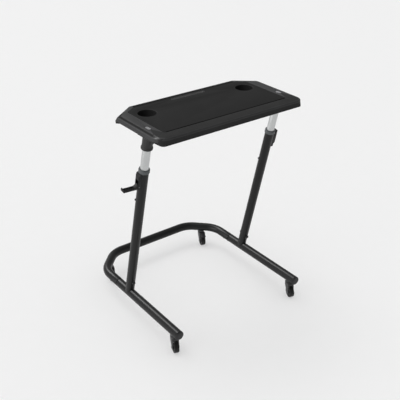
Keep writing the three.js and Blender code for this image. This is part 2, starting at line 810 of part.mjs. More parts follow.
// The edge, level by level from the rim to the plateau. The ends lean in to the rim below their
// widest line and step in over a ledge and a groove above it. Front and rear end in one round.
function edgeLevels() {
  const groove = edgeFlare + ledgeWidth;
  const plateau = groove + grooveWidth + plateauBevel + plateauRound;
  const ends = [
    [0, 0],
    [0, gripHeight],
    [edgeFlare - slabRound / 3, slabHeight - slabRound],
    [edgeFlare + slabRound, slabHeight],
    [groove, slabHeight],
    [groove + grooveDepth / 4, slabHeight - grooveDepth],
    [groove + grooveWidth, slabHeight - grooveDepth],
    [groove + grooveWidth + plateauBevel, deskThickness - plateauRound],
    [plateau, deskThickness],
  ];
  return ends.map(([end, endHeight], index) => {
    const angle = (Math.PI / 2) * (Math.max(index - 2, 0) / (ends.length - 3));
    const round = frontRound * (1 - Math.cos(angle));
    const frontHeight = index < 2 ? endHeight : deskThickness - frontRound * (1 - Math.sin(angle));
    const grip = index ? end : gripDepth;
    const radius = index ? THREE.MathUtils.lerp(deskCornerRadius, plateauCornerRadius, end / plateau)
      : gripCornerRadius;
    return { end, grip, cut: end, front: round, rear: round, radius, endHeight, frontHeight };
  });
}

function stacked(rings) {
  const count = rings[0].length;
  const corners = [];
  for (let ring = 0; ring < rings.length - 1; ring += 1) {
    for (let index = 0; index < count; index += 1) {
      const next = (index + 1) % count;
      const [a, b] = [ring * count + index, ring * count + next];
      corners.push(a, b, b + count, a, b + count, a + count);
    }
  }
  const flat = (ring) => ring.map((place) => new THREE.Vector2(place.x, place.y));
  const last = (rings.length - 1) * count;
  for (const [a, b, c] of THREE.ShapeUtils.triangulateShape(flat(rings[0]), [])) corners.push(c, b, a);
  for (const [a, b, c] of THREE.ShapeUtils.triangulateShape(flat(rings.at(-1)), [])) {
    corners.push(last + a, last + b, last + c);
  }
  const geometry = new THREE.BufferGeometry();
  const places = rings.flat().flatMap((place) => [place.x, place.y, place.z]);
  geometry.setAttribute('position', new THREE.Float32BufferAttribute(places, 3));
  geometry.setIndex(corners);
  return geometry;
}

function deskBlank() {
  const rings = edgeLevels().map((level) => deskPlan(level).map(({ x, y, front }) => ({
    x,
    y,
    z: deskBottom + THREE.MathUtils.lerp(level.endHeight, level.frontHeight, front),
  })));
  return stacked(rings);
}

// The inside of the shell at one distance from its walls, from below the rim up to a height.
function deskInside(wall, low, high) {
  const levels = [
    { z: low, grip: gripDepth + wall, radius: gripCornerRadius },
    { z: deskBottom, grip: gripDepth + wall, radius: gripCornerRadius },
    { z: deskBottom + gripHeight, grip: edgeFlare + wall, radius: deskCornerRadius - wall },
    { z: high, grip: edgeFlare + wall, radius: deskCornerRadius - wall },
  ];
  return solidOf(stacked(levels.map(({ z, grip, radius }) =>
    deskPlan({ end: grip, front: wall, rear: wall, cut: edgeFlare + wall, radius })
      .map((place) => ({ ...place, z })))));
}

const shapeOf = (plan) => polygon(plan.map(({ x, y }) => [x, y]));
const wellPlaces = [-1, 1].map((side) => [side * (deskWidth / 2 - wellInset), deskRearY - wellSetback]);
const slotY = deskRearY - slotSetback;
const inlayPlaces = [-1, 1].map((side) => [side * railX, socketY]);
const deckBottom = deskHeight - matThickness - deckThickness;

// The mat's outline with its holes, grown or shrunk by one clearance.
function matShape(clearance) {
  const shape = shapeOf(deskPlan({
    end: matEndBand + clearance,
    front: matFrontBand + clearance,
    rear: matRearBand + clearance,
    radius: matCornerRadius,
  }));
  for (const [x, y] of wellPlaces) {
    const hole = new THREE.Path();
    hole.absarc(x, y, wellRadius + wellLip + clearance, 0, 2 * Math.PI, true);
    shape.holes.push(hole);
  }
  const grown = 2 * (slotLip + clearance);
  const slot = roundedRectangle(slotLength + grown, slotWidth + grown, slotWidth / 2 + clearance);
  const points = slot.getPoints(roundSteps).map((point) => point.add(new THREE.Vector2(0, slotY)));
  shape.holes.push(new THREE.Path(points));
  return shape;
}

const wellCup = (radius, depth) => turned([
  [0, deskHeight - depth],
  [radius - wellTaper, deskHeight - depth],
  [radius, deckBottom],
  [0, deckBottom],
], wellSides);

function ribs() {
  const [low, high] = [deskBottom + ribSetback, deckBottom + deskWall / 2];
  const endX = deskWidth / 2 - edgeFlare;
  const across = acrossRibShares.map((share) => {
    const y = deskFrontY + share * deskDepth;
    return box([-endX, y - ribThickness / 2, low], [endX, y + ribThickness / 2, high]);
  });
  const along = alongRibShares.flatMap((share) => [-1, 1].map((side) => {
    const x = side * share * endX;
    return box([x - ribThickness / 2, deskFrontY, low], [x + ribThickness / 2, deskRearY, high]);
  }));
  return [...across, ...along];
}

function deskShell() {
  const cavity = deskInside(deskWall, deskBottom - overrun, deckBottom);
  const core = deskInside(deskWall / 2, deskBottom - overrun, deckBottom + deskWall);
  const inside = joined(ribs()).intersect(core);
  const pads = [-1, 1].map((side) =>
    prism(roundedRectangle(flangeWidth, flangeLength, flangeRound), deckBottom - deskBottom + fit)
      .translate(side * railX, socketY, deskBottom));
  const cups = wellPlaces.map(([x, y]) =>
    wellCup(wellRadius + wellWall, wellDepth + wellWall).translate(x, y, 0));
  const trough = prism(
    roundedRectangle(slotLength + 2 * slotWall, slotWidth + 2 * slotWall, slotWidth / 2 + slotWall - fit),
    slotDepth + slotWall - matThickness,
  ).translate(0, slotY, deskHeight - slotDepth - slotWall);
  const whole = solidOf(deskBlank()).subtract(cavity).add(inside).add(joined([...pads, ...cups, trough]));
  const recess = prism(matShape(-fit), matThickness + overrun, wellSides / 2)
    .translate(0, 0, deskHeight - matThickness);
  const wells = wellPlaces.flatMap(([x, y]) => [
    wellCup(wellRadius, wellDepth).translate(x, y, 0),
    rod(wellRadius, deckBottom - fit, deskHeight + overrun, wellSides).translate(x, y, 0),
  ]);
  const slot = prism(roundedRectangle(slotLength, slotWidth, slotWidth / 2 - fit), slotDepth + overrun)
    .translate(0, slotY, deskHeight - slotDepth);
  const inlays = inlayPlaces.map(([x, y]) =>
    prism(roundedRectangle(inlayWidth, inlayLength, inlayWidth / 2 - fit), inlayThickness + overrun)
      .translate(x, y, deskHeight - inlayThickness));
  const screwHoles = [-1, 1].flatMap(socketScrewPlaces).map(([x, y]) =>
    shaftHole(socketScrewRadius, deskBottom - overrun, deskBottom + socketScrewDepth + fit)
      .translate(x, y, 0));
  return without(whole, [recess, ...wells, slot, ...inlays, ...screwHoles]);
}

const deskMat = () => prism(matShape(0), matThickness - fit, wellSides / 2)
  .translate(0, 0, deskHeight - matThickness + fit);

const inlay = ([x, y]) => prism(
  roundedRectangle(inlayWidth - 2 * fit, inlayLength - 2 * fit, inlayWidth / 2 - 2 * fit),
  inlayThickness - fit,
).translate(x, y, deskHeight - inlayThickness + fit);

// Casters. Each caster's own frame has its origin on the floor under the stem, and trails along -Y.

const casterStem = () => turned([
  [0, crownBottom - fit - stemHeadHeight],
  [stemHeadRadius, crownBottom - fit - stemHeadHeight],
  [stemHeadRadius, crownBottom - fit],
  [stemRadius, crownBottom - fit],
  [stemRadius, crownTop + fit],
  [stemCollarRadius, crownTop + fit],
  [stemCollarRadius, casterHeight - fit],
  [stemRadius, casterHeight - fit],
  [stemRadius, casterHeight + frameWall + stemReach],
  [0, casterHeight + frameWall + stemReach],
], boltSides);

const pedalPivot = [-pedalPivotBack, crownTop - pedalPivotDrop];

function casterFork(braked) {
  const side = new THREE.Shape();
  side.moveTo(crownRadius, crownTop);
  side.lineTo(-earReach + crownRound, crownTop);
  side.lineTo(-earReach, crownTop - crownRound);
  side.lineTo(-earReach, crownBottom);
  side.absarc(-casterTrail, wheelRadius, legRadius, Math.PI, 2.1 * Math.PI, false);
  side.lineTo(crownRadius - legFrontSetback, crownBottom - crownRound);
  side.lineTo(crownRadius, crownBottom);
  side.closePath();
  const blank = solidOf(sidePrism(side, forkOuter, 4));
  // Seen from above, the crown is round in front.
  const plan = new THREE.Shape();
  plan.moveTo(forkOuter, -casterTrail - legRadius - overrun);
  plan.absellipse(0, 0, forkOuter, crownRadius, 0, Math.PI);
  plan.lineTo(-forkOuter, -casterTrail - legRadius - overrun);
  plan.closePath();
  const outline = solidOf(prism(plan, casterHeight, 5));
  const wheelSpace = box(
    [-forkInner, -casterTrail - legRadius - overrun, 0],
    [forkInner, crownRadius + overrun, crownBottom],
  );
  const pedalSpace = box(
    [-forkInner, -earReach - overrun, crownBottom - overrun],
    [forkInner, -crownBack, crownTop + overrun],
  );
  const axleHole = alongX(shaftHole(axleRadius, -forkOuter - overrun, forkOuter + overrun))
    .translate(0, -casterTrail, wheelRadius);
  const trunnionHole = alongX(shaftHole(trunnionRadius, -forkOuter - overrun, forkOuter + overrun))
    .translate(0, ...pedalPivot);
  const stemBore = shaftHole(stemRadius, crownBottom - overrun, crownTop + overrun);
  const cuts = braked ? [pedalSpace, trunnionHole] : [];
  return without(blank.intersect(outline), [wheelSpace, axleHole, stemBore, ...cuts]);
}

const casterAxle = () => alongX(turned([
  [0, -forkOuter - fit - axleHeadHeight],
  [axleHeadRadius, -forkOuter - fit - axleHeadHeight],
  [axleHeadRadius, -forkOuter - fit],
  [axleRadius, -forkOuter - fit],
  [axleRadius, forkOuter + fit],
  [axleHeadRadius, forkOuter + fit],
  [axleHeadRadius, forkOuter + fit + axleHeadHeight],
  [0, forkOuter + fit + axleHeadHeight],
], boltSides));

// The wheel rests on a flat of its many-sided tread, so its corners stand a little past the radius.
function casterWheel() {
  const half = wheelWidth / 2;
  const tread = wheelRadius / Math.cos(Math.PI / wheelSides);
  const rim = tread - rimDepth;
  const sidePoints = [
    [axleRadius + fit, half + hubStand],
    [hubRadius, half + hubStand],
    [hubRadius + webRecess / 4, half - webRecess],
    [rim - webRecess / 4, half - webRecess],
    [rim, half],
    [tread - wheelShoulder, half],
    [tread, half - wheelShoulder],
  ];
  const otherSide = sidePoints.map(([radius, height]) => [radius, -height]).reverse();
  const halfFacet = Math.PI / wheelSides;
  return alongX(turned([...sidePoints, ...otherSide], wheelSides).rotateZ(halfFacet));
}

// The pedal between the fork's ears: a hub on two trunnions, a tab for the foot and a shoe whose
// face follows the tread.
function brakePedal() {
  const [pivotY, pivotZ] = pedalPivot;
  const half = forkInner - pedalGap;
  const tabY = pivotY - pedalReach;
  const side = new THREE.Shape();
  side.absarc(pivotY, pivotZ, pedalHubRadius, -Math.PI / 2, Math.PI / 2, false);
  side.lineTo(pivotY - pedalHubRadius * pedalFallShares[0], pivotZ + pedalHubRadius * pedalFallShares[1]);
  side.lineTo(tabY, pivotZ - pedalTabDrop);
  side.lineTo(tabY, pivotZ - pedalTabDrop - pedalThickness);
  side.lineTo(pivotY - shoeBack - shoeLength / 2, pivotZ - pedalHubRadius);
  side.lineTo(pivotY - shoeBack - shoeLength / 2, wheelRadius);
  side.lineTo(pivotY - shoeBack + shoeLength / 2, wheelRadius);
  side.lineTo(pivotY - shoeBack + shoeLength / 2, pivotZ - pedalHubRadius);
  side.closePath();
  const tread = wheelRadius / Math.cos(Math.PI / wheelSides) + brakeGap;
  const wheelCut = alongX(rod(tread, -forkOuter, forkOuter, wheelSides * 2))
    .translate(0, -casterTrail, wheelRadius);
  const trunnions = alongX(rod(trunnionRadius, -forkOuter, forkOuter)).translate(0, pivotY, pivotZ);
  return solidOf(sidePrism(side, half, 3)).subtract(solidOf(wheelCut)).add(solidOf(trunnions));
}

// The whole desk

const desk = new THREE.Group();
const sides = [['left', -1], ['right', 1]];

addPiece(desk, 'rear_frame_tube', rearTube(), 'frame');
for (const [name, side] of sides) {
  addPiece(desk, `${name}_side_rail`, sideRail(side), 'frame');
  addPiece(desk, `${name}_rail_cap`, railCap(side), 'plastic');
  jointBoltPlaces.forEach((y, index) => {
    const place = index ? 'rear' : 'front';
    addPiece(desk, `${name}_${place}_joint_bolt`, jointBolt(side * railX, y), 'blackBolt');
  });

  const post = new THREE.Group();
  post.applyMatrix4(postPlace(side));
  desk.add(post);
  addPiece(post, `${name}_outer_post`, outerPost(side), 'frame');
  addPiece(post, `${name}_foot_bolt`, footBolt(), 'blackBolt');
  addPiece(post, `${name}_foot_nut`, footNut(), 'blackBolt');
  addPiece(post, `${name}_stop_screw`, stopScrew(), 'blackBolt');
  addPiece(post, `${name}_guide_collar`, guideCollar(), 'collar');
  addPiece(post, `${name}_inner_tube`, innerTube(), 'silver');
  addPiece(post, `${name}_glide_plug`, glidePlug(), 'plastic');

  // The left clamp is the right one seen in a mirror, with its lever open.
  const mirror = (solid) => mirrored(geometryOf(solid), side);
  addPiece(post, `${name}_clamp_housing`, mirror(clampHousing()), 'plastic');
  const pad = addPiece(post, `${name}_clamp_shoe`, mirror(shoePad()), 'plastic');
  pad.position.z = leverPivotHeight;
  const pin = addPiece(post, `${name}_lever_pin`, leverPin(), 'steel');
  pin.position.set(side * pivotX, 0, leverPivotHeight);
  const lever = addPiece(post, `${name}_clamp_lever`, mirror(clampLever()), 'plastic');
  lever.position.copy(pin.position);
  lever.rotation.y = side < 0 ? -THREE.MathUtils.degToRad(leverOpenAngle) : 0;

  addPiece(desk, `${name}_tube_socket`, tubeSocket(side), 'plastic');
  socketScrewPlaces(side).forEach((place, index) => {
    addPiece(desk, `${name}_${index ? 'rear' : 'front'}_socket_screw`, socketScrew(place), 'steel');
  });
}

addPiece(desk, 'desk_shell', deskShell(), 'top');
addPiece(desk, 'desk_mat', deskMat(), 'mat');
inlayPlaces.forEach((place, index) => addPiece(desk, `${sides[index][0]}_inlay`, inlay(place), 'silver'));

for (const { name, x, y, heading, braked } of casters) {
  const caster = new THREE.Group();
  caster.position.set(x, y, 0);
  caster.rotation.z = THREE.MathUtils.degToRad(heading);
  desk.add(caster);
  addPiece(caster, `${name}_caster_stem`, casterStem(), 'steel');
  addPiece(caster, `${name}_caster_fork`, casterFork(braked), 'fork');
  const axle = addPiece(caster, `${name}_caster_axle`, casterAxle(), 'steel');
  axle.position.set(0, -casterTrail, wheelRadius);
  const wheel = addPiece(caster, `${name}_caster_wheel`, casterWheel(), 'wheel');
  wheel.position.copy(axle.position);
  if (braked) addPiece(caster, `${name}_brake_pedal`, brakePedal(), 'plastic');
}

export default desk;
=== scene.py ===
# %% [markdown]
# A rolling desk for a bicycle on an indoor trainer. Its hard, moving construction is already
# modelled and arrives here as a frame of named pieces. This script gives each piece its real
# surface: tubes that are truly round, moulded edges that catch the light, and finishes.

# %% Load the frame
import json
import math

import bmesh
import bpy
from mathutils import Matrix, Vector


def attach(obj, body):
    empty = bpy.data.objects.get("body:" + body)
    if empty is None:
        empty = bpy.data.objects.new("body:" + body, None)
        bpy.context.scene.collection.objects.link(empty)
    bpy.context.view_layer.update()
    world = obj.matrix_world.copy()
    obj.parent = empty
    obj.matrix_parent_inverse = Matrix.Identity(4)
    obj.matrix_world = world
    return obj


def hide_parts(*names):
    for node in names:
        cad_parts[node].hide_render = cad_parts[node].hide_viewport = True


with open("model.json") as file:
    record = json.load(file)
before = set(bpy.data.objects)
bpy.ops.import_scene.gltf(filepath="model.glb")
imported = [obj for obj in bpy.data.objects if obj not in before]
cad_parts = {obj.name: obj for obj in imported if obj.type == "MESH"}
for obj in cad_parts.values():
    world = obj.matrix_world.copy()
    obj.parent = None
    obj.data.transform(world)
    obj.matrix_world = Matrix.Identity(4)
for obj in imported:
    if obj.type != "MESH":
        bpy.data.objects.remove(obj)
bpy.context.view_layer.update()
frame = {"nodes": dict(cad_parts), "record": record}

# %% [markdown]
# The camera stands to the left of the rider's seat and looks down on the desk. Its place was
# found by fitting the straight edges of tubes and top, so it is set before anything is shaped.
# The focal length is given in picture widths, which makes it free of any picture size.

# %% Camera
CAMERA_PLACE = Vector((-1.5357, -2.1228, 1.8615))
CAMERA_AZIMUTH = -36.726
CAMERA_ELEVATION = 28.435
CAMERA_ROLL = -0.123
FOCAL_IN_PICTURE_WIDTHS = 1.7587
SENSOR_WIDTH = 36.0
VIEW_END = 60.0


def turned_by(degrees, axis):
    return Matrix.Rotation(math.radians(degrees), 4, axis)


camera = bpy.data.objects.new("camera", bpy.data.cameras.new("camera"))
camera.data.sensor_fit = "HORIZONTAL"
camera.data.sensor_width = SENSOR_WIDTH
camera.data.lens = FOCAL_IN_PICTURE_WIDTHS * SENSOR_WIDTH
camera.data.clip_end = VIEW_END
camera.matrix_world = (
    Matrix.Translation(CAMERA_PLACE)
    @ turned_by(CAMERA_AZIMUTH, "Z")
    @ turned_by(90 - CAMERA_ELEVATION, "X")
    @ turned_by(CAMERA_ROLL, "Z")
)
bpy.context.scene.collection.objects.link(camera)
bpy.context.scene.camera = camera
print("lens", round(camera.data.lens, 2), "mm")

# %% [markdown]
# The desk stands in a white studio, where most of the light comes from everywhere. The world gives
# that light. An even world would shade every tube alike, so a map range over one direction makes
# it a little dimmer on one side.

# %% Room
ROOM_TONE = 0.455
ROOM_DIM_TONE = 0.38
ROOM_TURN = 95

bpy.context.scene.view_settings.view_transform = "Standard"


def link_chain(tree, *sockets):
    """Links each pair of sockets in turn."""
    for source, target in zip(sockets[::2], sockets[1::2]):
        tree.links.new(source, target)


def make_room():
    world = bpy.data.worlds.new("studio")
    bpy.context.scene.world = world
    world.use_nodes = True
    tree = world.node_tree
    background = tree.nodes["Background"]
    place = tree.nodes.new("ShaderNodeTexCoord")
    turn = tree.nodes.new("ShaderNodeMapping")
    turn.inputs["Rotation"].default_value = (0, 0, math.radians(ROOM_TURN))
    split = tree.nodes.new("ShaderNodeSeparateXYZ")
    tone = tree.nodes.new("ShaderNodeMapRange")
    tone.inputs["From Min"].default_value = -1
    tone.inputs["To Min"].default_value = ROOM_TONE
    tone.inputs["To Max"].default_value = ROOM_DIM_TONE
    link_chain(
        tree,
        place.outputs["Generated"], turn.inputs["Vector"],
        turn.outputs["Vector"], split.inputs["Vector"],
        split.outputs["Y"], tone.inputs["Value"],
        tone.outputs["Result"], background.inputs["Color"],
    )


make_room()
print("room from", ROOM_TONE, "down to", ROOM_DIM_TONE)

# %% [markdown]
# The thin bright line along each rail and on top of the rear tube can only come from one place: a
# light stands behind the desk, half way up the sky. A weaker and broader one stands low at the
# left. The floor shows no hard shadow of either, so they cast none here. A faint third one, high
# behind the desk, lays the soft dark bands under the rails. Suns are used, because their light is
# the same all over the floor.

# %% Lights
# Name, turn about Z, height above the floor in degrees, strength, apparent width, casts shadows.
LIGHTS = [
    ("back_softbox", 186, 45, 1.6, 16, False),
    ("back_shadow", 186, 64, 0.30, 30, True),
    ("left_softbox", -100, 15, 1.4, 40, False),
]


def make_light(name, azimuth, elevation, strength, width, shadow):
    light = bpy.data.lights.new(name, "SUN")
    light.energy = strength
    light.angle = math.radians(width)
    light.use_shadow = shadow
    sun = bpy.data.objects.new(name, light)
    sun.matrix_world = turned_by(azimuth, "Z") @ turned_by(90 - elevation, "X")
    bpy.context.scene.collection.objects.link(sun)


for settings in LIGHTS:
    make_light(*settings)
print("lights", [settings[0] for settings in LIGHTS])

# %% [markdown]
# Every piece below ends the same way. Its bmesh becomes a mesh object at the origin, with its place
# in the mesh, so that a pattern on Object coordinates stays where it is. It is shaded smooth except
# at real edges, and hung on the body that it moves with. What it is made of follows from its slot,
# so one table further down gives all finishes.

# %% A finished piece
SAME_POINT = 1e-6
CREASE = 32


def piece_from(bm, name, body, slot, *nodes, crease=CREASE):
    """Ends a bmesh as a finished piece that stands for the given nodes."""
    bmesh.ops.remove_doubles(bm, verts=bm.verts[:], dist=SAME_POINT)
    bmesh.ops.recalc_face_normals(bm, faces=bm.faces[:])
    mesh = bpy.data.meshes.new(name)
    bm.to_mesh(mesh)
    bm.free()
    for face in mesh.polygons:
        face.use_smooth = True
    mesh.set_sharp_from_angle(angle=math.radians(crease))
    mesh.materials.append(FINISHES[slot])
    piece = bpy.data.objects.new(name, mesh)
    bpy.context.scene.collection.objects.link(piece)
    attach(piece, body)
    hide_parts(*nodes)
    return piece


def plain(bounds):
    return [[round(value, 5) for value in corner] for corner in bounds]


print("edges over", CREASE, "degrees stay sharp")

# %% [markdown]
# Two ways of making a solid serve most pieces. What a press or a mould makes is an outline that is
# pushed up. What a lathe makes, such as a bolt, a wheel or a tube, is half an outline that is spun
# once round Z. A plain rod and a pipe are the two simplest spins, so they get names of their own.

# %% Pushed and turned solids
def moved_bm(bm, place):
    bmesh.ops.transform(bm, matrix=place, verts=bm.verts[:])
    return bm


def pushed_up(bm, height):
    """Gives the faces of a flat bmesh a height along Z."""
    made = bmesh.ops.extrude_face_region(bm, geom=bm.faces[:])
    top = [g for g in made["geom"] if isinstance(g, bmesh.types.BMVert)]
    bmesh.ops.translate(bm, verts=top, vec=(0, 0, height))


def prism(outline, low, high, place=Matrix.Identity(4)):
    """An outline in X and Y pushed up along Z."""
    bm = bmesh.new()
    bm.faces.new([bm.verts.new((x, y, low)) for x, y in outline])
    pushed_up(bm, high - low)
    return moved_bm(bm, place)


def block(low, high):
    """A box between two opposite corners."""
    (x0, y0, z0), (x1, y1, z1) = low, high
    return prism([(x0, y0), (x1, y0), (x1, y1), (x0, y1)], z0, z1)


def turned(profile, segments, place=Matrix.Identity(4)):
    """Spins (radius, height) pairs about Z. The profile closes on itself unless it ends on the axis."""
    bm = bmesh.new()
    corners = [bm.verts.new((radius, 0, height)) for radius, height in profile]
    on_axis = profile[0][0] == 0 and profile[-1][0] == 0
    pairs = list(zip(corners, corners[1:])) + ([] if on_axis else [(corners[-1], corners[0])])
    edges = [bm.edges.new(pair) for pair in pairs]
    bmesh.ops.spin(
        bm, geom=corners + edges, cent=(0, 0, 0), axis=(0, 0, 1), dvec=(0, 0, 0),
        angle=2 * math.pi, steps=segments, use_merge=True, use_duplicate=False,
    )
    bmesh.ops.remove_doubles(bm, verts=bm.verts[:], dist=SAME_POINT)
    bmesh.ops.recalc_face_normals(bm, faces=bm.faces[:])
    return moved_bm(bm, place)


def rod(radius, low, high, segments, place=Matrix.Identity(4)):
    return turned([(0, low), (radius, low), (radius, high), (0, high)], segments, place)


def pipe(inner, outer, low, high, segments, place):
    return turned([(inner, low), (outer, low), (outer, high), (inner, high)], segments, place)


def arc(x, y, radius, start, end, steps, stretch=1.0):
    angles = [math.radians(start + (end - start) * step / steps) for step in range(steps + 1)]
    return [(x + radius * math.cos(a), y + radius * stretch * math.sin(a)) for a in angles]


sample = turned([(1, 0), (2, 0), (2, 1)], 8)
print("a turned ring of 8 steps has", len(sample.faces), "faces")
sample.free()

# %% [markdown]
# Real edges are never sharp, and the small round is what shows as a line of light. A bevel gives it
# to every edge above an angle. Where one form is cut from another or grows out of it, boolean
# modifiers do the work on throw-away objects, and the result comes back as a bmesh.

# %% Rounding, joining and cutting
BEVEL_STEPS = 2


def soften(bm, width, degrees):
    """Rounds every edge that is sharper than an angle."""
    limit = math.radians(degrees)
    sharp = [e for e in bm.edges if len(e.link_faces) == 2 and e.calc_face_angle(0) > limit]
    bmesh.ops.bevel(
        bm, geom=sharp, offset=width, offset_type="OFFSET", segments=BEVEL_STEPS,
        profile=0.5, affect="EDGES", clamp_overlap=True, material=-1,
    )


def combined(*parts):
    """Several bmeshes in one."""
    whole = bmesh.new()
    for part in parts:
        mesh = bpy.data.meshes.new("part")
        part.to_mesh(mesh)
        part.free()
        whole.from_mesh(mesh)
        bpy.data.meshes.remove(mesh)
    return whole


def step_object(bm):
    """A bmesh as a throw-away object."""
    bmesh.ops.recalc_face_normals(bm, faces=bm.faces[:])
    mesh = bpy.data.meshes.new("step")
    bm.to_mesh(mesh)
    bm.free()
    made = bpy.data.objects.new("step", mesh)
    bpy.context.scene.collection.objects.link(made)
    return made


def shaped(target, *steps):
    """Joins or cuts one bmesh with others: each step is a word and a bmesh."""
    base = step_object(target)
    tools = []
    for operation, bm in steps:
        tools.append(step_object(bm))
        modifier = base.modifiers.new("step", "BOOLEAN")
        modifier.solver = "EXACT"
        modifier.operation = operation
        modifier.object = tools[-1]
    bpy.context.view_layer.update()
    evaluated = base.evaluated_get(bpy.context.evaluated_depsgraph_get())
    result = bmesh.new()
    result.from_mesh(evaluated.to_mesh())
    evaluated.to_mesh_clear()
    for used in [base, *tools]:
        bpy.data.objects.remove(used)
    bmesh.ops.remove_doubles(result, verts=result.verts[:], dist=SAME_POINT)
    return result


sample = shaped(block((0, 0, 0), (2, 2, 2)), ("DIFFERENCE", block((1, 1, 1), (3, 3, 3))))
print("a block less its corner has", len(sample.faces), "faces")
sample.free()

# %% [markdown]
# Nothing on this desk is a flat colour. Powder coat, nylon and moulded plastic all have a fine
# grain, and a tone that is never quite even. One function makes both from noise that reads Object
# coordinates, so the grain keeps its real size on every piece. The broad noise stains the colour and
# the gloss, and the fine one feeds the bump.

# %% A grained finish
STAIN_SCALE = 14
STAIN_DETAIL = 4
GRAIN_DETAIL = 3
NOISE_LOW = (0.25, 0.25, 0.25)
NOISE_HIGH = (0.75, 0.75, 0.75)
BUMP_STRENGTH = 0.6
MILLIMETRE = 0.001
# Where a map range node keeps its inputs for vectors.
VECTOR, FROM_LOW, FROM_HIGH, TO_LOW, TO_HIGH = range(6, 11)


def noise(tree, scale, detail):
    node = tree.nodes.new("ShaderNodeTexNoise")
    node.inputs["Scale"].default_value = scale
    node.inputs["Detail"].default_value = detail
    return node


def grained(name, color, roughness, metallic=0.0, grain=900.0, depth=0.02, stain=0.12,
            stretch=(1, 1, 1), turn=(0, 0, 0), specular=0.5, rough_spread=0.08):
    """A finish whose grain has so many dots a metre and a depth in millimetres."""
    material = bpy.data.materials.new(name)
    material.use_nodes = True
    tree = material.node_tree
    shader = tree.nodes["Principled BSDF"]
    shader.inputs["Metallic"].default_value = metallic
    shader.inputs["Specular IOR Level"].default_value = specular
    place = tree.nodes.new("ShaderNodeTexCoord")
    mapping = tree.nodes.new("ShaderNodeMapping")
    mapping.inputs["Scale"].default_value = stretch
    mapping.inputs["Rotation"].default_value = turn
    fine = noise(tree, grain, GRAIN_DETAIL)
    broad = noise(tree, STAIN_SCALE, STAIN_DETAIL)
    shades = tree.nodes.new("ShaderNodeMapRange")
    shades.data_type = "FLOAT_VECTOR"
    shades.inputs[FROM_LOW].default_value = NOISE_LOW
    shades.inputs[FROM_HIGH].default_value = NOISE_HIGH
    shades.inputs[TO_LOW].default_value = [value * (1 - stain) for value in color]
    shades.inputs[TO_HIGH].default_value = [value * (1 + stain) for value in color]
    gloss = tree.nodes.new("ShaderNodeMapRange")
    gloss.inputs["To Min"].default_value = roughness - rough_spread
    gloss.inputs["To Max"].default_value = roughness + rough_spread
    bump = tree.nodes.new("ShaderNodeBump")
    bump.inputs["Strength"].default_value = BUMP_STRENGTH
    bump.inputs["Distance"].default_value = depth * MILLIMETRE
    link_chain(
        tree,
        place.outputs["Object"], mapping.inputs["Vector"],
        mapping.outputs["Vector"], fine.inputs["Vector"],
        place.outputs["Object"], broad.inputs["Vector"],
        broad.outputs["Fac"], shades.inputs[VECTOR],
        shades.outputs["Vector"], shader.inputs["Base Color"],
        broad.outputs["Fac"], gloss.inputs["Value"],
        gloss.outputs["Result"], shader.inputs["Roughness"],
        fine.outputs["Fac"], bump.inputs["Height"],
        bump.outputs["Normal"], shader.inputs["Normal"],
    )
    return material


print("stain spots are about", round(1 / STAIN_SCALE, 2), "m wide")

# %% [markdown]
# The frame is powder coated, which is duller than paint and still catches a line of light. The
# drawn inner tubes show fine marks along their length, so their grain is stretched that way and
# leans with the posts. The other pieces differ by how coarse their mould is and how dark the
# plastic. Each row names the slot in the record that the finish belongs to.

# %% Finishes by slot
POST_LEAN = 14.17
ALONG_POST = (math.radians(-POST_LEAN), 0, 0)

FINISHES = {
    "frame_steel": grained(
        "powder_coat", (0.008, 0.008, 0.0084), 0.39, specular=0.27, grain=1400, depth=0.03,
    ),
    "silver_tube": grained(
        "silver_tube", (0.53, 0.54, 0.54), 0.32, metallic=1.0, grain=900, depth=0.004, stain=0.05,
        stretch=(1, 1, 0.02), turn=ALONG_POST, rough_spread=0.05,
    ),
    "collar_plastic": grained(
        "collar_nylon", (0.088, 0.094, 0.098), 0.5, specular=0.35, grain=2200, depth=0.02,
    ),
    "clamp_plastic": grained(
        "clamp_nylon", (0.008, 0.008, 0.0085), 0.5, specular=0.25, grain=2000, depth=0.03,
    ),
    "socket_plastic": grained(
        "socket_nylon", (0.03, 0.03, 0.03), 0.55, specular=0.3, grain=2000, depth=0.03,
    ),
    "cap_plastic": grained(
        "cap_plastic", (0.015, 0.015, 0.016), 0.45, specular=0.4, grain=2400, depth=0.01,
    ),
    "top_plastic": grained(
        "top_plastic", (0.029, 0.029, 0.029), 0.6, specular=0.05, grain=1300, depth=0.04,
    ),
    "mat": grained(
        "mat_sheet", (0.0165, 0.0165, 0.0165), 0.7, specular=0.08, grain=2600, depth=0.05,
        rough_spread=0.05,
    ),
    "silver_inlay": grained(
        "inlay_plate", (0.5, 0.5, 0.52), 0.35, metallic=1.0, grain=700, depth=0.004, stain=0.05,
        stretch=(1, 0.03, 1),
    ),
    "black_fastener": grained(
        "black_zinc", (0.02, 0.02, 0.021), 0.35, metallic=0.6, grain=1200, depth=0.01,
    ),
    "zinc_steel": grained(
        "bright_zinc", (0.16, 0.165, 0.17), 0.4, metallic=1.0, grain=1500, depth=0.008,
    ),
    "fork_plastic": grained(
        "fork_nylon", (0.028, 0.028, 0.029), 0.45, specular=0.4, grain=2000, depth=0.02,
    ),
    "wheel_nylon": grained(
        "wheel_nylon", (0.005, 0.005, 0.005), 0.4, specular=0.3, grain=1800, depth=0.02,
    ),
    "pedal_plastic": grained(
        "pedal_nylon", (0.012, 0.012, 0.013), 0.45, specular=0.35, grain=2000, depth=0.02,
    ),
}
# Painted shade: a near-black finish laid inside narrow seams and grooves, where shade falls.
seam_painted_shade = grained(
    "seam_painted_shade", (0.003, 0.003, 0.003), 0.8, specular=0.05, grain=1300, depth=0.01,
)
print("finishes", len(bpy.data.materials))

# %% [markdown]
# The base is one size of round tube. A curve with a round profile could follow the route, but its
# bends would be flattened splines. So the rear tube is a ring of corners that is pushed along for
# each straight run and spun for each bend, as a tube bender does it, and the bends are true arcs.
# The skin gets its wall at the end.

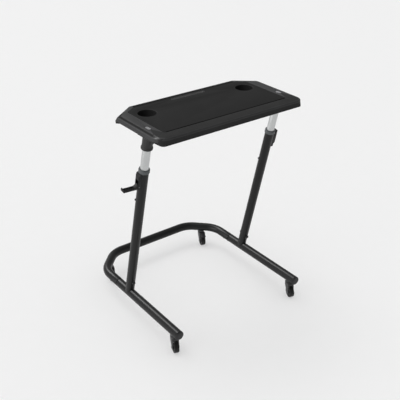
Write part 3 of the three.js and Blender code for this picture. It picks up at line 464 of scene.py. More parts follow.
# %% Rear tube
TUBE_RADIUS = 0.019
TUBE_WALL = 0.0015
TUBE_BORE = TUBE_RADIUS - TUBE_WALL
FIT = 0.0003
ROUND = 48
RAIL_X = 0.309
RAIL_Z = 0.090
REAR_TUBE_Y = 0.328
SEAM_Y = 0.1055
SEAM_GAP = 0.0022
SEAM_ROUND = 0.0012
CORNER_LEG = 0.102
BEND_RADIUS = 0.103
BEND_ANGLE = 45
BEND_STEPS = 14
TUBE_END_ANGLE = 60


def tube_walls(bm):
    """Gives an open skin its wall, on the inside."""
    bmesh.ops.recalc_face_normals(bm, faces=bm.faces[:])
    bmesh.ops.solidify(bm, geom=bm.faces[:], thickness=TUBE_WALL)


def push(bm, ring, by):
    """Draws a ring of edges out along a vector and returns its far end."""
    made = bmesh.ops.extrude_edge_only(bm, edges=ring)
    moved = [g for g in made["geom"] if isinstance(g, bmesh.types.BMVert)]
    bmesh.ops.translate(bm, verts=moved, vec=by)
    edges = [g for g in made["geom"] if isinstance(g, bmesh.types.BMEdge)]
    return [edge for edge in edges if edge.verts[0] in moved and edge.verts[1] in moved]


def rear_tube():
    bm = bmesh.new()
    start_y = SEAM_Y + SEAM_GAP
    at = Vector((-RAIL_X, start_y, RAIL_Z))
    heading = Vector((0, 1, 0))
    place = Matrix.Translation(at) @ turned_by(90, "X")
    bmesh.ops.create_circle(bm, segments=ROUND, radius=TUBE_RADIUS, matrix=place)
    ring = bm.edges[:]
    tangent = BEND_RADIUS * math.tan(math.radians(BEND_ANGLE / 2))
    side_run = REAR_TUBE_Y - CORNER_LEG - start_y - tangent
    corner_run = CORNER_LEG * math.sqrt(2) - 2 * tangent
    rear_run = 2 * (RAIL_X - CORNER_LEG - tangent)
    turn = Matrix.Rotation(math.radians(-BEND_ANGLE), 3, "Z")
    for run in (side_run, corner_run, rear_run, corner_run):
        ring = push(bm, ring, heading * run)
        at = at + heading * run
        centre = at + Vector((heading.y, -heading.x, 0)) * BEND_RADIUS
        made = bmesh.ops.spin(
            bm, geom=ring, cent=centre, axis=(0, 0, -1), dvec=(0, 0, 0),
            angle=math.radians(BEND_ANGLE), steps=BEND_STEPS, use_duplicate=False,
        )
        ring = [g for g in made["geom_last"] if isinstance(g, bmesh.types.BMEdge)]
        at = centre + turn @ (at - centre)
        heading = turn @ heading
    push(bm, ring, heading * side_run)
    tube_walls(bm)
    soften(bm, SEAM_ROUND, TUBE_END_ANGLE)
    return bm


piece_from(rear_tube(), "rear_tube_smooth", "base", "frame_steel", "rear_frame_tube")

# %% [markdown]
# Each side rail is a straight tube whose rear end is drawn down to slip into the rear tube, which
# leaves the fine seam that shows behind the post. A turned profile gives both diameters and the
# wall at once. The short stub that holds the post is welded on, out of sight. Inside the seam the
# narrowed end is painted near black, as painted shade, because a gap this narrow is always dark.

# %% Side rails
RAIL_FRONT_Y = -0.347
SWAGE_LENGTH = 0.064
SWAGE_RADIUS = TUBE_BORE - FIT
SWAGE_BORE = SWAGE_RADIUS - TUBE_WALL
CAP_FLANGE = 0.0045
STUB_LENGTH = 0.094
POST_FOOT_Y = 0.025
SEAM_REACH = 0.001
SIDES = {"left": -1, "right": 1}


def along_rail(side):
    """Lays a piece that was turned about Z along a rail instead."""
    return Matrix.Translation((side * RAIL_X, 0, RAIL_Z)) @ turned_by(-90, "X")


def post_place(side):
    return Matrix.Translation((side * RAIL_X, POST_FOOT_Y, RAIL_Z)) @ turned_by(POST_LEAN, "X")


def side_rail(side):
    start = RAIL_FRONT_Y + CAP_FLANGE + FIT
    end = SEAM_Y - FIT
    tail = end + SWAGE_LENGTH
    rail = turned([
        (TUBE_BORE, start), (TUBE_RADIUS - SEAM_ROUND, start), (TUBE_RADIUS, start + SEAM_ROUND),
        (TUBE_RADIUS, end - SEAM_ROUND), (TUBE_RADIUS - SEAM_ROUND, end), (SWAGE_RADIUS, end),
        (SWAGE_RADIUS, tail), (SWAGE_BORE, tail),
        (SWAGE_BORE, end - 2 * TUBE_WALL), (TUBE_BORE, end - 3 * TUBE_WALL),
    ], ROUND, along_rail(side))
    stub = pipe(SWAGE_BORE, SWAGE_RADIUS, TUBE_RADIUS, STUB_LENGTH, ROUND, post_place(side))
    return combined(rail, stub)


# Painted shade: the faces of the narrowed end inside the seam take the near-black finish.
def paint_seam_shade(rail, side):
    rail.data.materials.append(seam_painted_shade)
    for face in rail.data.polygons:
        off_axis = math.hypot(face.center.x - side * RAIL_X, face.center.z - RAIL_Z)
        face.material_index = int(off_axis < TUBE_RADIUS and face.center.y > SEAM_Y - SEAM_REACH)


print("rails reach", round(RAIL_FRONT_Y, 3), "to", round(SEAM_Y + SWAGE_LENGTH, 3))

# %% [markdown]
# A black cap closes the front end of each rail. It is a slightly crowned disc with a plug behind
# it, so it is turned like the rail. A few points along the crown are enough for a smooth highlight.
# Rail and cap of one side are then made together.

# %% Rail caps
CAP_SPIGOT = 0.018
CAP_EDGE = 0.0004
# Radius and distance behind the cap's foremost point.
CAP_CROWN = [(0, 0), (0.010, 0.0001), (0.0152, 0.0007), (0.0178, 0.0019), (0.0188, 0.0034)]


def rail_cap(side):
    seat = RAIL_FRONT_Y + CAP_FLANGE
    return turned([
        *[(radius, RAIL_FRONT_Y + behind) for radius, behind in CAP_CROWN],
        (TUBE_RADIUS, seat - CAP_EDGE), (TUBE_RADIUS - CAP_EDGE, seat),
        (SWAGE_RADIUS, seat), (SWAGE_RADIUS, seat + CAP_SPIGOT), (0, seat + CAP_SPIGOT),
    ], ROUND, along_rail(side))


for name, side in SIDES.items():
    rail = piece_from(side_rail(side), f"{name}_rail_smooth", "base", "frame_steel", f"{name}_side_rail")
    paint_seam_shade(rail, side)
    piece_from(rail_cap(side), f"{name}_cap_smooth", "base", "cap_plastic", f"{name}_rail_cap")
print("caps stand", CAP_FLANGE, "proud of the rails")

# %% [markdown]
# The outer posts are the same tube, notched at the foot so that they sit down over the rail. A
# boolean could cut that notch, but it leaves uneven corners. The notch follows from the two
# cylinders: each corner of the lowest ring slides along the post until it lies on the rail.

# %% Outer posts
POST_LENGTH = 0.65774


def outer_post(side):
    bm = bmesh.new()
    bmesh.ops.create_circle(bm, segments=ROUND, radius=TUBE_RADIUS)
    lower = bm.verts[:]
    push(bm, bm.edges[:], (0, 0, POST_LENGTH))
    lean = math.radians(POST_LEAN)
    rest = TUBE_RADIUS + FIT
    for corner in lower:
        down = math.sqrt(rest ** 2 - corner.co.x ** 2)
        corner.co.z = (down - math.sin(lean) * corner.co.y) / math.cos(lean)
    tube_walls(bm)
    return moved_bm(bm, post_place(side))


for name, side in SIDES.items():
    piece_from(outer_post(side), f"{name}_post_smooth", "base", "frame_steel", f"{name}_outer_post")
print("posts rise to", round(RAIL_Z + POST_LENGTH * math.cos(math.radians(POST_LEAN)), 4))

# %% [markdown]
# The silver inner tubes slide in the posts, on a plug at their lower end. A grey guide collar caps
# each post: its skirt grips the outside, its sleeve lines the bore, and its rounded lip is the pale
# ring in the picture. All three are turned and then leaned with the post.

# %% Inner tubes, collars and glide plugs
INNER_RADIUS = 0.016
INNER_BORE = INNER_RADIUS - TUBE_WALL
INNER_BOTTOM = 0.1883
INNER_TOP = 0.78924
INNER_ROUND = 0.0004
COLLAR_SKIRT = 0.008
COLLAR_HEIGHT = 0.016
COLLAR_WALL = 0.0024
COLLAR_ROUND = 0.0007
SLEEVE_LENGTH = 0.050
MOUTH_WIDTH = 0.0012
MOUTH_DEPTH = 0.0009
PLUG_FLANGE = 0.014
PLUG_SPIGOT = 0.024
SLIDE_RADIUS = TUBE_BORE - FIT
# How far the collar's lip has drawn in, and how far it is below the top.
COLLAR_LIP = [(0, 0.005), (0.0005, 0.00275), (0.0014, 0.0009), (0.0028, 0)]


def inner_tube(side):
    bm = pipe(INNER_BORE, INNER_RADIUS, INNER_BOTTOM, INNER_TOP, ROUND, post_place(side))
    soften(bm, INNER_ROUND, TUBE_END_ANGLE)
    return bm


def guide_collar(side):
    outer = TUBE_RADIUS + FIT + COLLAR_WALL
    bottom = POST_LENGTH - COLLAR_SKIRT
    top = bottom + COLLAR_HEIGHT
    low = POST_LENGTH - SLEEVE_LENGTH
    stop = POST_LENGTH + FIT
    return turned([
        (INNER_RADIUS + FIT, low), (SLIDE_RADIUS, low), (SLIDE_RADIUS, stop), (TUBE_RADIUS + FIT, stop),
        (TUBE_RADIUS + FIT, bottom), (outer - COLLAR_ROUND, bottom), (outer, bottom + COLLAR_ROUND),
        *[(outer - inward, top - down) for inward, down in COLLAR_LIP],
        (INNER_RADIUS + MOUTH_WIDTH, top), (INNER_RADIUS + FIT, top - MOUTH_DEPTH),
    ], ROUND, post_place(side))


def glide_plug(side):
    spigot = INNER_BORE - FIT
    seat = INNER_BOTTOM - FIT
    return turned([
        (0, seat - PLUG_FLANGE), (SLIDE_RADIUS, seat - PLUG_FLANGE), (SLIDE_RADIUS, seat),
        (spigot, seat), (spigot, seat + PLUG_SPIGOT), (0, seat + PLUG_SPIGOT),
    ], ROUND, post_place(side))


for name, side in SIDES.items():
    piece_from(inner_tube(side), f"{name}_inner_smooth", "table", "silver_tube", f"{name}_inner_tube")
    piece_from(guide_collar(side), f"{name}_collar_smooth", "base", "collar_plastic",
               f"{name}_guide_collar")
    piece_from(glide_plug(side), f"{name}_glide_smooth", "table", "cap_plastic", f"{name}_glide_plug")
print("inner tubes are", round(INNER_TOP - INNER_BOTTOM, 3), "m long")

# %% [markdown]
# Bolts, screws and nuts are turned, with a hexagon for the tool. They are small, but a round head
# that catches a highlight is what makes a joint read as a joint. Their domes are drawn as shares of
# the head, so one function serves every size, and the acorn nut is a hexagon inside a barrel with
# a dome on top.

# %% Making a bolt and a nut
DOME_SHARES = [(1, 0), (1, 0.3), (0.93, 0.55), (0.76, 0.8), (0.5, 0.95), (0, 1)]
DRIVE_RADIUS_SHARE = 0.42
DRIVE_FLOOR_SHARE = 0.45
DRIVE_TOP_SHARE = 1.4
HEAD_STEPS = 32
NUT_RADIUS = 0.0076
NUT_HEIGHT = 0.0058
NUT_DOME = 0.0034
NUT_BELOW = 0.001
NUT_STEP = 0.0002
DOME_STEP = 0.0006
BARREL_SHARE = 0.86
BARREL_WIDE_SHARE = 1.02
# Radius as a share of the nut's, and rise as a share of its dome.
ACORN_SHARES = [(0.68, 0.55), (0.42, 0.9), (0, 1)]
ACORN_FOOT_SHARE = 0.8


def hexagon(radius, low, high, place=Matrix.Identity(4)):
    bm = bmesh.new()
    bmesh.ops.create_circle(bm, segments=6, radius=radius, cap_ends=True)
    bmesh.ops.translate(bm, verts=bm.verts[:], vec=(0, 0, low))
    pushed_up(bm, high - low)
    return moved_bm(bm, place)


def domed_bolt(shank, far, seat, head, place):
    """A dome head above its seat with a hexagon drive, on a shank that runs down to far."""
    radius, height = head
    dome = [(radius * across, seat + height * up) for across, up in DOME_SHARES]
    bolt = turned([(0, far), (shank, far), (shank, seat), *dome], HEAD_STEPS, place)
    drive = hexagon(radius * DRIVE_RADIUS_SHARE, seat + height * DRIVE_FLOOR_SHARE,
                    seat + height * DRIVE_TOP_SHARE, place)
    return shaped(bolt, ("DIFFERENCE", drive))


def acorn_nut(place):
    waist, top = NUT_RADIUS * BARREL_SHARE, NUT_HEIGHT + NUT_STEP
    middle = NUT_HEIGHT / 2
    wide = NUT_RADIUS * BARREL_WIDE_SHARE
    barrel = turned([
        (0, -NUT_BELOW), (waist, -NUT_BELOW), (wide, middle), (waist, top), (0, top),
    ], HEAD_STEPS)
    body = shaped(hexagon(NUT_RADIUS, 0, NUT_HEIGHT), ("INTERSECT", barrel))
    foot = NUT_RADIUS * ACORN_FOOT_SHARE
    acorn = turned([
        (0, middle), (foot, middle), (foot, NUT_HEIGHT + DOME_STEP),
        *[(NUT_RADIUS * across, NUT_HEIGHT + NUT_DOME * up) for across, up in ACORN_SHARES],
    ], HEAD_STEPS)
    return moved_bm(shaped(body, ("UNION", acorn)), place)


print("an acorn nut is", round(NUT_HEIGHT + NUT_DOME, 4), "m tall")

# %% [markdown]
# One long bolt runs through each post's foot and its stub, with the acorn nut toward the rider. A
# small screw below each clamp stops the inner tube. Two bolts from below hold each rail in the rear
# tube. Each has its own place in the frame, so a matrix lays the upright bolt where it belongs.

# %% Fasteners of the base
FOOT_BOLT_HEIGHT = 0.072
FOOT_BOLT_HEAD = (0.007, 0.0062)
NUT_THREAD = 0.004
STOP_SCREW_HEIGHT = 0.51424
STOP_SCREW_TURN = 62
STOP_SCREW_HEAD = (0.0042, 0.004)
STOP_SCREW_SHANK = 0.0025
JOINT_BOLT_HEAD = (0.0062, 0.0058)
JOINT_BOLT_END = 0.007
BOLT_SHANK = 0.003
TUBE_SEAT = TUBE_RADIUS + FIT
# How far behind the seam.
JOINT_BOLTS = {"front": 0.015, "rear": 0.048}

for name, side in SIDES.items():
    foot = post_place(side) @ Matrix.Translation((0, 0, FOOT_BOLT_HEIGHT))
    through = -TUBE_SEAT - NUT_THREAD
    bolt = domed_bolt(BOLT_SHANK, through, TUBE_SEAT, FOOT_BOLT_HEAD, foot @ turned_by(-90, "X"))
    piece_from(bolt, f"{name}_foot_bolt_head", "base", "black_fastener", f"{name}_foot_bolt")
    nut = acorn_nut(foot @ turned_by(90, "X") @ Matrix.Translation((0, 0, TUBE_SEAT)))
    piece_from(nut, f"{name}_foot_acorn", "base", "black_fastener", f"{name}_foot_nut")
    screw_place = (post_place(side) @ Matrix.Translation((0, 0, STOP_SCREW_HEIGHT))
                   @ turned_by(STOP_SCREW_TURN, "Z") @ turned_by(-90, "X"))
    screw = domed_bolt(STOP_SCREW_SHANK, INNER_RADIUS + FIT, TUBE_SEAT, STOP_SCREW_HEAD, screw_place)
    piece_from(screw, f"{name}_stop_screw_head", "base", "black_fastener", f"{name}_stop_screw")
    for place_name, behind in JOINT_BOLTS.items():
        below = Matrix.Translation((side * RAIL_X, SEAM_Y + behind, RAIL_Z)) @ turned_by(180, "X")
        bolt = domed_bolt(BOLT_SHANK, JOINT_BOLT_END, TUBE_SEAT, JOINT_BOLT_HEAD, below)
        piece_from(bolt, f"{name}_{place_name}_joint_head", "base", "black_fastener",
                   f"{name}_{place_name}_joint_bolt")
print("heads up to", 2 * FOOT_BOLT_HEAD[0], "m across")

# %% [markdown]
# The cam clamp is a moulded housing on the outside of the post and a lever that is ribbed behind
# like any thin moulding. Their solids already have the right walls, so a merged copy is enough:
# flat facets are dissolved and the edges get the small radius that a mould gives.

# %% Clamps
FACET_GAP = 2e-5
FLAT_WITHIN = 0.6
MOULDED_EDGE_ANGLE = 40
HOUSING_ROUND = 0.0008
LEVER_ROUND = 0.0005


def moulded_copy(node, width):
    """A copy of a node's mesh with merged corners, whole faces and rounded edges."""
    bm = bmesh.new()
    bm.from_mesh(frame["nodes"][node].data)
    bmesh.ops.remove_doubles(bm, verts=bm.verts[:], dist=FACET_GAP)
    bmesh.ops.dissolve_limit(
        bm, angle_limit=math.radians(FLAT_WITHIN), use_dissolve_boundaries=False,
        verts=bm.verts[:], edges=bm.edges[:],
    )
    soften(bm, width, MOULDED_EDGE_ANGLE)
    return bm


for name in SIDES:
    housing = moulded_copy(f"{name}_clamp_housing", HOUSING_ROUND)
    piece_from(housing, f"{name}_housing_moulded", "base", "clamp_plastic", f"{name}_clamp_housing")
    lever = moulded_copy(f"{name}_clamp_lever", LEVER_ROUND)
    piece = piece_from(lever, f"{name}_lever_moulded", f"{name}_lever", "clamp_plastic",
                       f"{name}_clamp_lever")
    print(name, "lever has", len(piece.data.polygons), "faces")

# %% [markdown]
# The desk is one moulded shell. Its plan has two cut rear corners and two round front ones. The
# plan is drawn again for each level of the edge, and neighbouring levels are bridged, because
# no single bevel gives an edge that changes along its way. The ends lean in below their widest
# line, as a grip for the fingers, and step in over a ledge and a groove above it. Front and rear
# are upright walls with one round on top.

# %% Desk sizes
DESK_TOP = 0.9065
DESK_WIDTH = 0.692
DESK_DEPTH = 0.3443
DESK_THICKNESS = 0.028
DESK_FRONT_REACH = 0.118
MAT_THICKNESS = 0.0025
DECK_THICKNESS = 0.0055
CORNER_RADIUS = 0.050
GROOVE_MARGIN = 0.006
DESK_END_X = DESK_WIDTH / 2
DESK_BOTTOM = DESK_TOP - DESK_THICKNESS
DECK_BOTTOM = DESK_TOP - MAT_THICKNESS - DECK_THICKNESS
SOCKET_Y = POST_FOOT_Y - math.tan(math.radians(POST_LEAN)) * (DESK_BOTTOM - RAIL_Z)
DESK_FRONT_Y = SOCKET_Y - DESK_FRONT_REACH
DESK_REAR_Y = DESK_FRONT_Y + DESK_DEPTH
# The groove over the ledge of the ends stops here, just behind the round front corners.
GROOVE_STOP = DESK_FRONT_Y + CORNER_RADIUS + GROOVE_MARGIN
print("desk from y", round(DESK_FRONT_Y, 4), "to", round(DESK_REAR_Y, 4), "top", DESK_TOP)

# %% [markdown]
# The plan is worked out once for half the desk and mirrored. Its corners are eased by small curves
# instead of sharp points. Each point carries a share that says how far it follows the front and
# rear walls instead of the ends, so the stepped edge of the ends can melt into the plain round of
# the front.

# %% Desk plan
CORNER_ACROSS = 0.094
CORNER_ALONG = 0.060
GRIP_RAMP = 0.017
END_TAPER = 0.0005
CORNER_STEPS = 14
REAR_ROUND = 0.005
REAR_STEPS = 4
MAT_CORNER_RADIUS = 0.008


def eased(before, corner, after, reach, steps):
    """Points that cut a corner with a smooth curve."""
    corner = Vector(corner)
    start = corner + (Vector(before) - corner).normalized() * reach
    end = corner + (Vector(after) - corner).normalized() * reach
    shares = [step / steps for step in range(steps + 1)]
    return [start * (1 - s) ** 2 + corner * 2 * s * (1 - s) + end * s ** 2 for s in shares]


def desk_plan(end, front, rear, radius, grip=None, cut=None):
    """The plan's corners as (x, y, share), where share says how far a corner follows front and rear."""
    grip = end if grip is None else grip
    cut = rear if cut is None else cut
    slant = math.hypot(CORNER_ACROSS, CORNER_ALONG)
    nx, ny = CORNER_ALONG / slant, CORNER_ACROSS / slant
    reach = nx * DESK_END_X + ny * (DESK_REAR_Y - CORNER_ALONG)
    grip_x, end_x, rear_y = DESK_END_X - grip, DESK_END_X - end - END_TAPER, DESK_REAR_Y - rear
    end_corner = (end_x, (reach - cut - nx * end_x) / ny)
    rear_corner = ((reach - rear - ny * rear_y) / nx, rear_y)
    ramp = (grip_x, end_corner[1] - GRIP_RAMP)
    before = (grip_x, GROOVE_STOP)
    half = [(*before, 0)] if radius > MAT_CORNER_RADIUS else []
    half += [(*p, 0) for p in eased(before, ramp, end_corner, REAR_ROUND, REAR_STEPS)]
    half += [(*p, 0) for p in eased(ramp, end_corner, rear_corner, REAR_ROUND, REAR_STEPS)]
    half += [(*p, 1) for p in eased(end_corner, rear_corner, (0, rear_y), REAR_ROUND, REAR_STEPS)]
    corner = []
    for step in range(CORNER_STEPS, -1, -1):
        angle = math.pi / 2 * step / CORNER_STEPS
        x = grip_x - radius + radius * math.cos(angle)
        y = DESK_FRONT_Y + front + radius - radius * math.sin(angle)
        corner.append((x, y, step / CORNER_STEPS))
    right = corner + half
    return right + [(-x, y, share) for x, y, share in reversed(right)]


print("the plan has", len(desk_plan(0, 0, 0, CORNER_RADIUS)), "corners")

# %% [markdown]
# Two tables hold the edge of the ends, one below and one above the widest line. The blank is the
# whole desk without its hollow: a stack of plans, bridged from level to level.

# %% Desk blank
PLATEAU_CORNER = 0.025
GRIP_CORNER = 0.018
GRIP_HEIGHT = 0.0105
FRONT_ROUND = 0.009
GROOVE_FADE = 0.012
# How far the ends are drawn in at their grip and at the widest part, and the height, from the rim
# to the widest line.
LOW_EDGE = [
    (0.0164, 0.0004, 0), (0.0157, 0, 0.0004), (0.0014, 0, 0.0096), (0.0002, 0, 0.0108),
    (0.0005, 0.0005, 0.0122),
]
# From there to the plateau both are alike.
HIGH_EDGE = [
    (0.0052, 0.0209), (0.0057, 0.0219), (0.0064, 0.0226), (0.0076, 0.0230), (0.0122, 0.0230),
    (0.0128, 0.0226), (0.0134, 0.0214), (0.0160, 0.0212), (0.0166, 0.0222), (0.0178, 0.0265),
    (0.0181, 0.0272), (0.0186, 0.0277), (0.0193, 0.0280),
]
LEDGE_END, LEDGE_HEIGHT = HIGH_EDGE[3]
PLATEAU_END = HIGH_EDGE[-1][0]


def within_share(value):
    return min(max(value, 0), 1)


def at_height(points, z):
    return [(x, y, z) for x, y in points]


def quarter_round(radius, steps):
    """How far a round rim has opened and risen after each step."""
    angles = [math.pi / 2 * step / steps for step in range(steps + 1)]
    return [(radius * (1 - math.cos(angle)), radius * math.sin(angle)) for angle in angles]


def stacked(rings):
    """Closed loops of points, one above the other, bridged into a solid."""
    bm = bmesh.new()
    loops = []
    for ring in rings:
        corners = [bm.verts.new(point) for point in ring]
        loops.append([bm.edges.new((a, b)) for a, b in zip(corners, corners[1:] + corners[:1])])
        if ring is rings[0] or ring is rings[-1]:
            bm.faces.new(corners)
    for lower, upper in zip(loops, loops[1:]):
        bmesh.ops.bridge_loops(bm, edges=lower + upper)
    bmesh.ops.recalc_face_normals(bm, faces=bm.faces[:])
    return bm


def desk_blank():
    rings = []
    for grip, end, height in LOW_EDGE:
        radius = GRIP_CORNER + (CORNER_RADIUS - GRIP_CORNER) * min(height / GRIP_HEIGHT, 1)
        plan = desk_plan(end, 0, 0, radius, grip, end)
        rings.append([(x, y, DESK_BOTTOM + height) for x, y, _ in plan])
    rounds = quarter_round(FRONT_ROUND, len(HIGH_EDGE) - 1)
    for (end, end_height), (inset, risen) in zip(HIGH_EDGE, rounds):
        wall_height = DESK_THICKNESS - FRONT_ROUND + risen
        radius = CORNER_RADIUS + (PLATEAU_CORNER - CORNER_RADIUS) * end / PLATEAU_END
        past_ledge = within_share((end - LEDGE_END) / (PLATEAU_END - LEDGE_END))
        bevel_height = LEDGE_HEIGHT + past_ledge * (DESK_THICKNESS - LEDGE_HEIGHT)
        ring = []
        for x, y, share in desk_plan(end, inset, inset, radius, cut=end):
            fade = within_share((GROOVE_STOP - y) / GROOVE_FADE) * (end > LEDGE_END)
            level = end_height + (bevel_height - end_height) * fade
            ring.append((x, y, DESK_BOTTOM + level + (wall_height - level) * share))
        rings.append(ring)
    return stacked(rings)


print("the edge has", len(LOW_EDGE) + len(HIGH_EDGE), "levels")

# %% [markdown]
# Four kinds of form are let into the top: mat, tablet slot, two small inlays and two round wells.
# Each is an outline that can be drawn a little larger or smaller, because the same outline serves
# for the hole, for the piece that lies in it and for the lip round it.

# %% Outlines in the top
SLOT_LENGTH = 0.152
SLOT_WIDTH = 0.011
SLOT_SETBACK = 0.038
SLOT_Y = DESK_REAR_Y - SLOT_SETBACK
INLAY_LENGTH = 0.028
INLAY_WIDTH = 0.012
MAT_END_BAND = 0.059
MAT_FRONT_BAND = 0.0513
MAT_REAR_BAND = 0.026
CORNER_ARC_STEPS = 8
INLAY_ARC_STEPS = 6
ROUND_WELL = 72


def rounded_rectangle(width, height, radius, x, y, steps=CORNER_ARC_STEPS):
    right, top = x + width / 2 - radius, y + height / 2 - radius
    left, bottom = x - width / 2 + radius, y - height / 2 + radius
    return (arc(right, bottom, radius, -90, 0, steps) + arc(right, top, radius, 0, 90, steps)
            + arc(left, top, radius, 90, 180, steps) + arc(left, bottom, radius, 180, 270, steps))


def circle(radius, x, y, steps=ROUND_WELL):
    return arc(x, y, radius, 0, 360 - 360 / steps, steps - 1)


def mat_outline(grown):
    bands = [band - grown for band in (MAT_END_BAND, MAT_FRONT_BAND, MAT_REAR_BAND)]
    return [(x, y) for x, y, _ in desk_plan(*bands, MAT_CORNER_RADIUS)]


def slot_outline(grown, lip=0.0):
    width = SLOT_WIDTH + 2 * (grown + lip)
    return rounded_rectangle(SLOT_LENGTH + 2 * (grown + lip), width, width / 2 - FIT, 0, SLOT_Y)


def inlay_outline(x, grown):
    width = INLAY_WIDTH + 2 * grown
    height = INLAY_LENGTH + 2 * grown
    return rounded_rectangle(width, height, width / 2 - FIT, x, SOCKET_Y, INLAY_ARC_STEPS)


print("the mat's outline has", len(mat_outline(0)), "corners, the slot's", len(slot_outline(0)))

# %% [markdown]
# A hole in a moulding has a small round on its rim, and the light on it tells how thick the skin
# is. A rim can't be bevelled safely after a boolean, so each cutting shape carries the round of its
# own rim: its outline opens in a quarter round just before it leaves the surface.

# %% Cutting with a round rim
PAST = 0.003
FLARE_STEPS = 3
WELL_RADIUS = 0.036
WELL_TAPER = 0.002
WELL_DEPTH = 0.045
WELL_INSET = 0.113
WELL_SETBACK = 0.103
WELL_ROUND = 0.0016
WELL_ROUND_STEPS = 4
WELL_FLOOR_ROUND = 0.003
# Outward and upward, as shares of the round between a well's floor and wall.
FLOOR_ROUND_SHARES = [(0, 0), (0.5, 0.13), (0.87, 0.5), (1, 1)]
WELL_X = DESK_END_X - WELL_INSET
WELL_Y = DESK_REAR_Y - WELL_SETBACK
WELL_PLACES = [(side * WELL_X, WELL_Y) for side in SIDES.values()]


def flared(outline_at, low, high, flare):
    """A cutting shape whose rim opens by flare. outline_at gives the outline grown by an amount."""
    rings = [at_height(outline_at(0), low)]
    for opened, risen in quarter_round(flare, FLARE_STEPS):
        rings.append(at_height(outline_at(opened), high - flare + risen))
    rings.append(at_height(outline_at(flare), high + PAST))
    return stacked(rings)


def well_cut(x, y):
    floor = DESK_TOP - WELL_DEPTH
    inner = WELL_RADIUS - WELL_TAPER - WELL_FLOOR_ROUND
    bowl = [(0, floor)]
    for outward, up in FLOOR_ROUND_SHARES:
        bowl.append((inner + WELL_FLOOR_ROUND * outward, floor + WELL_FLOOR_ROUND * up))
    bowl.append((WELL_RADIUS, DECK_BOTTOM))
    for opened, risen in quarter_round(WELL_ROUND, WELL_ROUND_STEPS):
        bowl.append((WELL_RADIUS + opened, DESK_TOP - WELL_ROUND + risen))
    bowl += [(WELL_RADIUS + WELL_ROUND, DESK_TOP + PAST), (0, DESK_TOP + PAST)]
    return turned(bowl, ROUND_WELL, Matrix.Translation((x, y, 0)))


print("wells at", [[round(value, 3) for value in place] for place in WELL_PLACES])

# %% [markdown]
# A thick slab would warp in the mould, so the underside is hollow: a thin deck, with a grid of ribs
# between pockets. The pockets are plain blocks, trimmed by the room inside the walls. That way the
# ribs run into the walls wherever these are, and no rib has to be drawn by itself.

# %% Hollow underside
DESK_WALL = 0.003
GRIP_DEPTH = 0.016
EDGE_FLARE = 0.006
RIB = 0.0025
# Where the ribs run, as shares of the desk's depth and of half its width.
ACROSS_SHARES = (0.2, 0.39, 0.58)
ALONG_SHARES = (0.14, 0.28, 0.42, 0.56, 0.7)


def desk_inside(low, high):
    """The room inside the walls, as far as the given heights above the rim."""
    rings = []
    for height in sorted({low, 0, GRIP_HEIGHT, high}):
        share = within_share(height / GRIP_HEIGHT)
        grip = DESK_WALL + GRIP_DEPTH + (EDGE_FLARE - GRIP_DEPTH) * share
        radius = GRIP_CORNER + (CORNER_RADIUS - DESK_WALL - GRIP_CORNER) * share
        plan = desk_plan(grip, DESK_WALL, DESK_WALL, radius, cut=EDGE_FLARE + DESK_WALL)
        if height <= high:
            rings.append([(x, y, DESK_BOTTOM + height) for x, y, _ in plan])
    return stacked(rings)


def pockets():
    """The hollows between the ribs."""
    end_x = DESK_END_X - EDGE_FLARE
    rows = [DESK_FRONT_Y, *[DESK_FRONT_Y + share * DESK_DEPTH for share in ACROSS_SHARES], DESK_REAR_Y]
    inner = [share * end_x for share in ALONG_SHARES]
    columns = [-end_x, *[-x for x in reversed(inner)], *inner, end_x]
    low, gap = DESK_BOTTOM - PAST, RIB / 2
    cells = [
        block((x0 + gap, y0 + gap, low), (x1 - gap, y1 - gap, DECK_BOTTOM))
        for x0, x1 in zip(columns, columns[1:]) for y0, y1 in zip(rows, rows[1:])
    ]
    room = desk_inside(-2 * PAST, DECK_BOTTOM - DESK_BOTTOM + PAST)
    return shaped(combined(*cells), ("INTERSECT", room))


print("pockets", (2 * len(ALONG_SHARES) + 1) * (len(ACROSS_SHARES) + 1))

# %% [markdown]
# Three things hang under the deck: a pad for each socket, the outside of each well's cup and the
# trough of the slot. They are gathered in one bmesh, so that a single boolean welds them all on.

# %% What hangs under the deck
WELL_WALL = 0.0025
CUP_EASE = 0.001
CUP_ROUND = 0.004
SLOT_DEPTH = 0.024
FLANGE_WIDTH = 0.040
FLANGE_LENGTH = 0.092
FLANGE_ROUND = 0.008


def flange_outline(side):
    return rounded_rectangle(FLANGE_WIDTH, FLANGE_LENGTH, FLANGE_ROUND, side * RAIL_X, SOCKET_Y)


def cup(x, y):
    """The outside of a well, under the deck."""
    floor = DESK_TOP - WELL_DEPTH - WELL_WALL
    wall = WELL_RADIUS + WELL_WALL
    foot = wall - WELL_TAPER
    return turned([
        (0, floor), (foot - CUP_ROUND, floor), (foot - CUP_EASE, floor + CUP_EASE),
        (foot, floor + CUP_ROUND), (wall, DECK_BOTTOM + FIT), (0, DECK_BOTTOM + FIT),
    ], ROUND_WELL, Matrix.Translation((x, y, 0)))


def under_deck():
    pads = [prism(flange_outline(side), DESK_BOTTOM, DECK_BOTTOM + FIT) for side in SIDES.values()]
    cups = [cup(x, y) for x, y in WELL_PLACES]
    trough = prism(slot_outline(WELL_WALL), DESK_TOP - SLOT_DEPTH - WELL_WALL, DECK_BOTTOM + FIT)
    return combined(*pads, *cups, trough)


print("cups hang down to", round(DESK_TOP - WELL_DEPTH - WELL_WALL, 4))

# %% [markdown]
# The mat doesn't run up to the wells and the slot: a lip of the shell stands up through it round
# each of them. The wells and the slot are cut after the lips, because they go through them. The
# same set of cuts holds the seats of the inlays, the narrow groove along the mat's front edge and
# the pilot holes for the socket screws.

